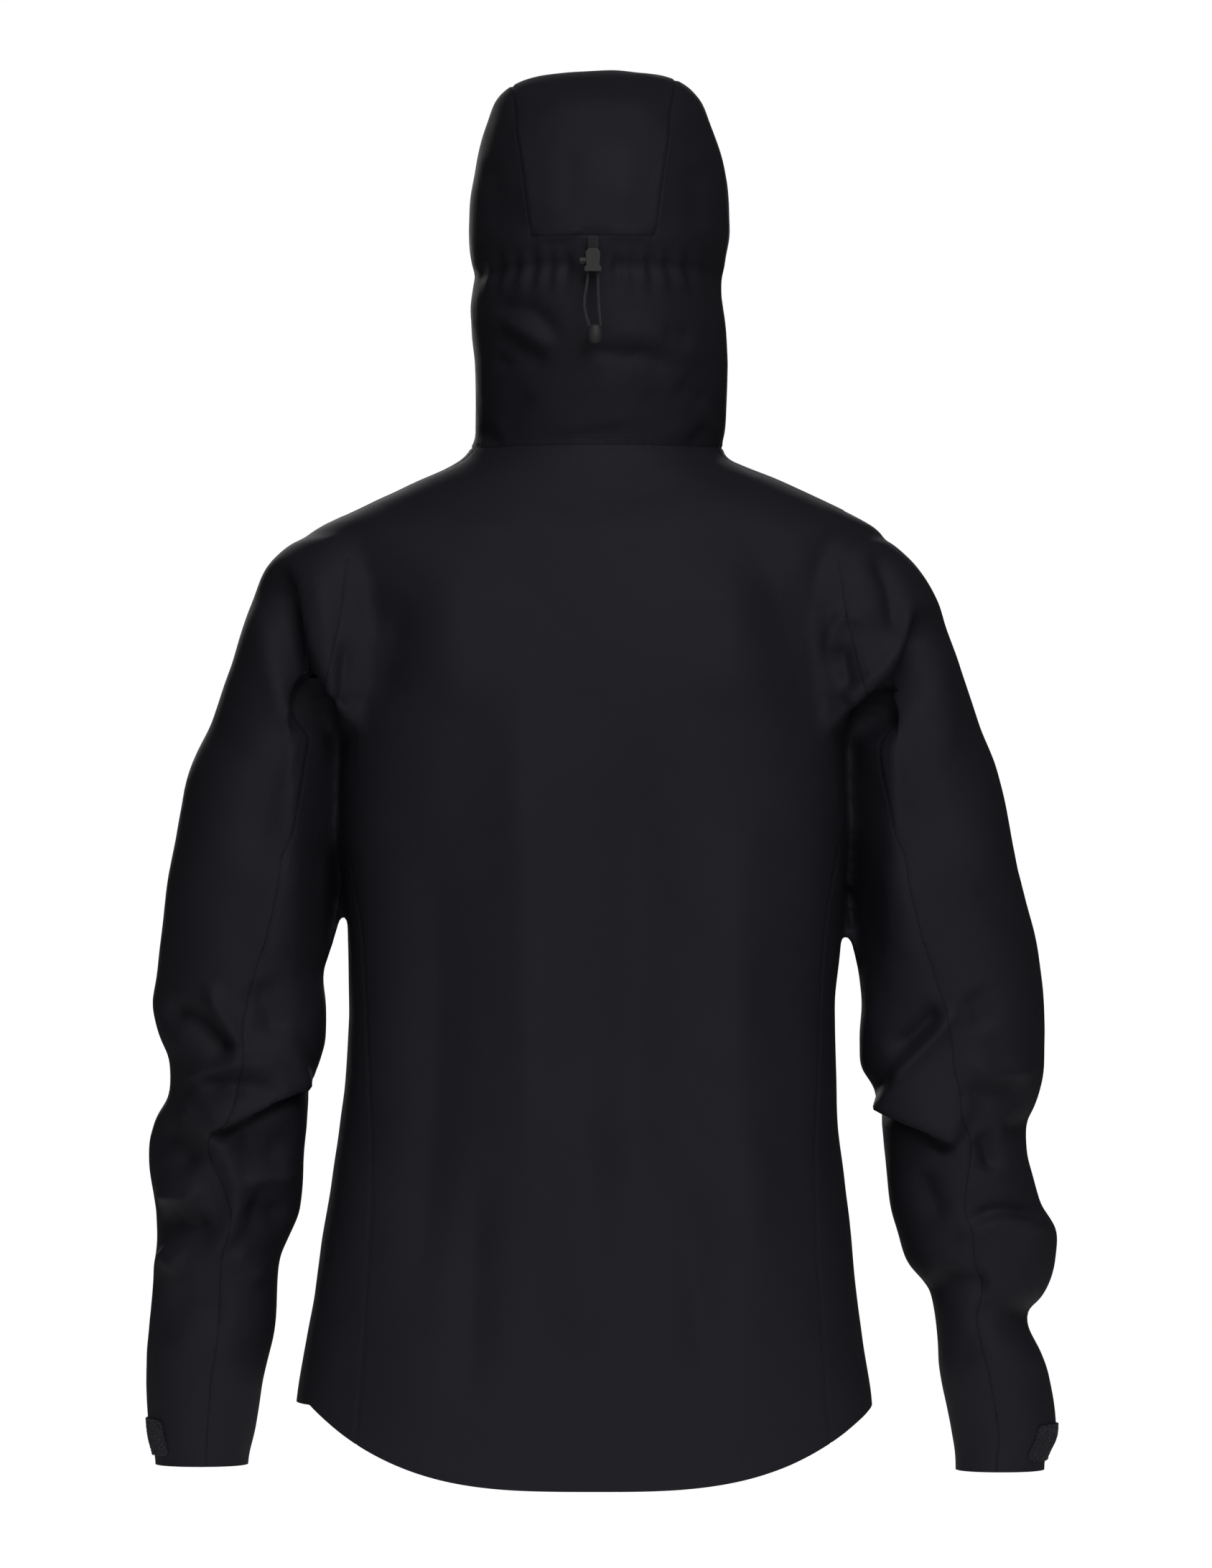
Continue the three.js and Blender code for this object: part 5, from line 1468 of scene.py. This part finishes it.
def make_panels():
    p = base.points
    ring = {}
    for name, sign in (("left", 1), ("right", -1)):
        on = (np.abs(armhole_field(p)) < ON_LINE) & (p[:, 0] * sign > 0) & by_armhole(p)
        ring[name] = ring_where(on & skin.locked)
    neck = (np.abs(p[:, 2] - NECK) < ON_LINE) & (p[:, 1] > COLLAR_BACK_Y)
    behind_collar = (np.abs(p[:, 1] - COLLAR_BACK_Y) < ON_LINE) & (p[:, 2] > NECK) & (p[:, 2] < COLLAR_TOP)
    on_collar = (np.abs(p[:, 2] - COLLAR_TOP) < ON_LINE) & (p[:, 1] < COLLAR_BACK_Y)
    ring["neck"] = ring_where(neck | behind_collar | on_collar)
    for name, chosen in regions.items():
        kind = name.replace("_left", "").replace("_right", "")
        side = name.rsplit("_", 1)[-1]
        cloth, slot, inset, thick = LAYERS.get(kind, (SHELL, "shell_fabric", 0.0, FABRIC))
        piece = shell(name + "_cloth", skin, chosen, cloth, thick, inset)
        if kind == "cuff_loop_patch":
            raise_pile(piece)
        declare(piece, [name])
        if kind in ("upper_sleeve_outer", "upper_sleeve_under"):
            follow(piece, ring[side])
        elif kind in ("forearm_outer", "forearm_under"):
            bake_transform(piece)
        elif kind in ("cuff_band", "cuff_loop_patch"):
            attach(piece, f"forearm_{side}")
        elif kind in ("cuff_tab", "cuff_hook_patch"):
            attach(piece, f"cuff_tab_{side}")
        elif name in ("hood_wrap_panel", "face_edge_tunnel", "neck_label"):
            follow(piece, ring["neck"])
        elif name in ("hood_crown_panel", "hood_cord_channel"):
            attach(piece, "hood")
        else:
            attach(piece, "body")


make_panels()

# ---- Zips ----

# Half a coated zip across: from its middle edge over the bulge of the hidden coil to the tape's outer edge,
# as distance from the middle and height above the shell's outer face.
ZIP_TOP = [
    (0.35, -1.5), (0.55, -0.75), (1.1, -0.42), (2.0, -0.38),
    (2.8, -0.6), (3.4, -1.2), (4.0, -1.6), (10.6, -1.7),
]
ZIP_UNDER = [(11.0, -1.95), (10.6, -2.2), (4.0, -2.3), (3.3, -3.2), (1.0, -3.2), (0.35, -2.6)]
COIL_AT = 1.9
COIL_WIDTH = 1.3
COIL_PITCH = 1.7
COIL_RIPPLE = 0.13
ZIP_STEP = 0.43


def zip_half(origin, across, along, out, length, side):
    """One tape with its half of the chain: its section drawn along a straight line, rippled over the coil."""
    section = np.array(ZIP_TOP + ZIP_UNDER, float)
    run = np.arange(1.0, length - 1.0, ZIP_STEP)
    ripple = COIL_RIPPLE * np.sin(2 * np.pi * run / COIL_PITCH)
    over_coil = np.exp(-(((section[:, 0] - COIL_AT) / COIL_WIDTH) ** 2))
    x = side * section[:, 0]
    points = (
        np.asarray(origin)[None, None]
        + x[None, :, None] * np.asarray(across)
        + run[:, None, None] * np.asarray(along)
        + (section[None, :, 1] + ripple[:, None] * over_coil[None])[:, :, None] * np.asarray(out)
    )
    rows, sides = points.shape[:2]
    faces = []
    for r in range(rows - 1):
        for i in range(sides):
            j = (i + 1) % sides
            quad = (r * sides + i, r * sides + j, (r + 1) * sides + j, (r + 1) * sides + i)
            faces.append(quad if side < 0 else quad[::-1])
    first = tuple(range(sides))
    last = tuple((rows - 1) * sides + i for i in range(sides))
    faces.append(first[::-1] if side < 0 else first)
    faces.append(last if side < 0 else last[::-1])
    return points.reshape(-1, 3), faces


def add_zip(name, node_name, halves):
    points, faces = [], []
    for more_points, more_faces in halves:
        start = sum(len(part) for part in points)
        points.append(more_points)
        faces += [tuple(start + i for i in face) for face in more_faces]
    piece = add_mesh(name, to_row(np.vstack(points)), faces, TAPE)
    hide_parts(node_name)
    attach(piece, "body")
    return piece


def body_front(x, z):
    """The front face that the pocket zips lie on."""
    half = smooth([(60, 209), (335, 180.5), (545, 187)], z)
    back = smooth(BODY_BACK, z)
    power = 2.5
    share = abs(x) / half
    middle, deep = (front_at(z) + back) / 2, (back - front_at(z)) / 2
    return np.array([x, float(middle - deep * (1 - share**power) ** (1 / power)), z])


def make_zips():
    lean = math.atan(FRONT_LEAN)
    along, out = np.array([0, math.sin(lean), math.cos(lean)]), np.array([0, -math.cos(lean), math.sin(lean)])
    foot = (0, front_at(SIDE_HEM), SIDE_HEM)
    length = (COLLAR_TOP - 3 - SIDE_HEM) / math.cos(lean)
    for name, side in (("left", 1), ("right", -1)):
        half = zip_half(foot, (1, 0, 0), along, out, length, side)
        add_zip(f"main_zip_{name}_tape", f"main_zip_{name}", [half])
        x = side * POCKET_X
        low, high = body_front(x, POCKET_FOOT), body_front(x, POCKET_FOOT + POCKET_LENGTH)
        middle = POCKET_FOOT + POCKET_LENGTH / 2
        way = (high - low) / np.linalg.norm(high - low)
        face = np.cross(body_front(x + 12, middle) - body_front(x - 12, middle), way)
        face /= np.linalg.norm(face)
        beside_it = np.cross(way, face)
        halves = [zip_half(low, beside_it, way, face, POCKET_LENGTH, s) for s in (1, -1)]
        add_zip(f"pocket_zip_{name}_tape", f"pocket_zip_{name}", halves)


make_zips()

# ---- Brim ----

BRIM_HALF = 63.0
BRIM_TALL = 1000.0  # where its plane crosses the middle of the hood
BRIM_TILT = 0.2
BRIM_THICK = 1.25  # half of it


def make_brim():
    """A stiffened crescent of shell fabric that grows out of the hood above the face opening."""
    across = np.linspace(-1, 1, 61)
    reach = np.concatenate([np.linspace(0, 0.9, 12), [0.94, 0.97, 0.99, 1.0]])
    rim = np.sqrt(np.clip(1 - np.clip((reach - 0.93) / 0.07, 0, 1) ** 2, 0, 1))
    x = BRIM_HALF * np.sin(across * np.pi / 2)
    root = 1 - 103 * (1 - (np.abs(x) / 82) ** 2.2) ** (1 / 2.2) + 3
    edge = np.minimum(-60 - 86 * np.sqrt(1 - (x / 66) ** 2), root - 1.5)
    y = root[:, None] + (edge - root)[:, None] * reach[None]
    plane = BRIM_TALL + BRIM_TILT * y - 5 * (x[:, None] / BRIM_HALF) ** 2 + 1.2
    sewn = 0.35 * np.exp(-(((reach - 0.84) / 0.025) ** 2))
    thick = BRIM_THICK * rim - sewn
    ends = np.sqrt(np.clip(1 - np.abs(across) ** 12, 0.02, 1))[:, None]
    top = np.stack([np.broadcast_to(x[:, None], y.shape), y, plane + thick * ends], axis=2)
    under = np.stack([np.broadcast_to(x[:, None], y.shape), y, plane - thick * ends], axis=2)
    rows, columns = y.shape
    count = rows * columns
    faces = []
    for i in range(rows - 1):
        for j in range(columns - 1):
            a, b = i * columns + j, (i + 1) * columns + j
            c, d = b + 1, a + 1
            faces += [(a, d, c, b), (count + a, count + b, count + c, count + d)]
        a, b = i * columns, (i + 1) * columns
        faces.append((a, b, count + b, count + a))
        a, b = a + columns - 1, b + columns - 1
        faces.append((a, count + a, count + b, b))
    for j in range(columns - 1):
        a, b = j, j + 1
        faces.append((a, count + a, count + b, b))
        a, b = (rows - 1) * columns + j, (rows - 1) * columns + j + 1
        faces.append((a, b, count + b, count + a))
    points = np.vstack([top.reshape(-1, 3), under.reshape(-1, 3)])
    brim = add_mesh("hood_brim_cloth", to_row(points), faces, SHELL)
    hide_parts("hood_brim")
    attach(brim, "hood")


make_brim()

# ---- Webbing ----


WEBBING_EDGE = 0.00045


def make_strap(name, node_name, body):
    """A strap with soft edges: the plain strap's shape, its flat faces joined and its edges rounded."""
    mesh = bpy.data.objects[node_name].data.copy()
    strap = bpy.data.objects.new(name, mesh)
    bpy.context.scene.collection.objects.link(strap)
    strap.matrix_world = bpy.data.objects[node_name].matrix_world.copy()
    choose(strap)
    bpy.ops.object.transform_apply(location=True, rotation=True, scale=True)
    bpy.ops.object.mode_set(mode="EDIT")
    bpy.ops.mesh.select_all(action="SELECT")
    bpy.ops.mesh.remove_doubles(threshold=0.00002)
    bpy.ops.mesh.dissolve_limited(angle_limit=math.radians(1.5))
    bpy.ops.object.mode_set(mode="OBJECT")
    edge = strap.modifiers.new("soft edge", "BEVEL")
    edge.width = WEBBING_EDGE
    edge.segments = 3
    edge.limit_method = "ANGLE"
    edge.angle_limit = math.radians(35)
    bpy.ops.object.modifier_apply(modifier=edge.name)
    bpy.ops.object.shade_smooth_by_angle(angle=math.radians(50))
    mesh.materials.clear()
    mesh.materials.append(WEBBING)
    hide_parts(node_name)
    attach(strap, body)


make_strap("hang_loop_webbing", "hang_loop", "body")
make_strap("hood_lock_tab_webbing", "hood_lock_tab", "hood_lock")

# ---- Pieces that keep their CAD shape ----


def dress(names, material):
    for name in names:
        made = bpy.data.objects[name]
        made.data.materials.clear()
        made.data.materials.append(material)


def dress_cad_nodes():
    both = ("left", "right")
    dress(["main_zip_slider"] + [f"pocket_slider_{s}" for s in both], METAL)
    dress(["main_zip_pull"] + [f"pocket_pull_{s}" for s in both], RUBBER)
    dress(["main_zip_box", "hood_lock_body", "hood_lock_button"] + [f"hem_lock_{s}" for s in both], PLASTIC)
    dress([f"hem_lock_button_{s}" for s in both], PLASTIC)


dress_cad_nodes()

# ---- Floor and light ----


def make_floor():
    low = cad_box[0]
    place = (0, 0, low[2] - 0.22)
    bpy.ops.mesh.primitive_circle_add(vertices=128, radius=1.15, fill_type="NGON", location=place)
    floor = bpy.context.object
    floor.name = "floor"
    bake_place(floor)
    material, _, shader = new_material("pale floor", (0.86, 0.86, 0.86), 0.9, specular=0.1)
    shader.inputs["Emission Color"].default_value = (1, 1, 1, 1)
    shader.inputs["Emission Strength"].default_value = 0.3
    floor.data.materials.append(material)


def area_light(name, place, target, size, power, color=(1, 1, 1)):
    data = bpy.data.lights.new(name, "AREA")
    data.shape = "RECTANGLE"
    data.size, data.size_y = size
    data.energy = power
    data.color = color
    light = bpy.data.objects.new(name, data)
    bpy.context.scene.collection.objects.link(light)
    light.location = place
    light.rotation_euler = (Vector(target) - Vector(place)).to_track_quat("-Z", "Y").to_euler()


def make_lights():
    """A white surround that itself gives little light, and large soft lamps above and at the sides."""
    world = bpy.data.worlds.new("studio")
    world.use_nodes = True
    tree = world.node_tree
    background = tree.nodes["Background"]
    background.inputs["Color"].default_value = (1, 1, 1, 1)
    seen = tree.nodes.new("ShaderNodeLightPath").outputs["Is Camera Ray"]
    strength = tree.nodes.new("ShaderNodeMapRange")
    strength.inputs["To Min"].default_value = 0.06
    strength.inputs["To Max"].default_value = 1.0
    tree.links.new(seen, strength.inputs["Value"])
    tree.links.new(strength.outputs["Result"], background.inputs["Strength"])
    bpy.context.scene.world = world
    area_light("overhead", (-0.2, 2.2, 2.4), (0, 0.05, -0.15), (1.5, 1.0), 30)
    area_light("key", (-0.9, 3.1, 1.5), (0, 0, -0.3), (1.6, 1.2), 46)
    area_light("low fill", (0.5, 3.3, 0.0), (0, 0, -0.3), (2.2, 1.6), 16)
    area_light("front key", (0.3, -3.4, 0.5), (0, 0, -0.35), (1.8, 1.4), 52)
    bpy.context.scene.view_settings.view_transform = "Standard"


make_floor()
make_lights()
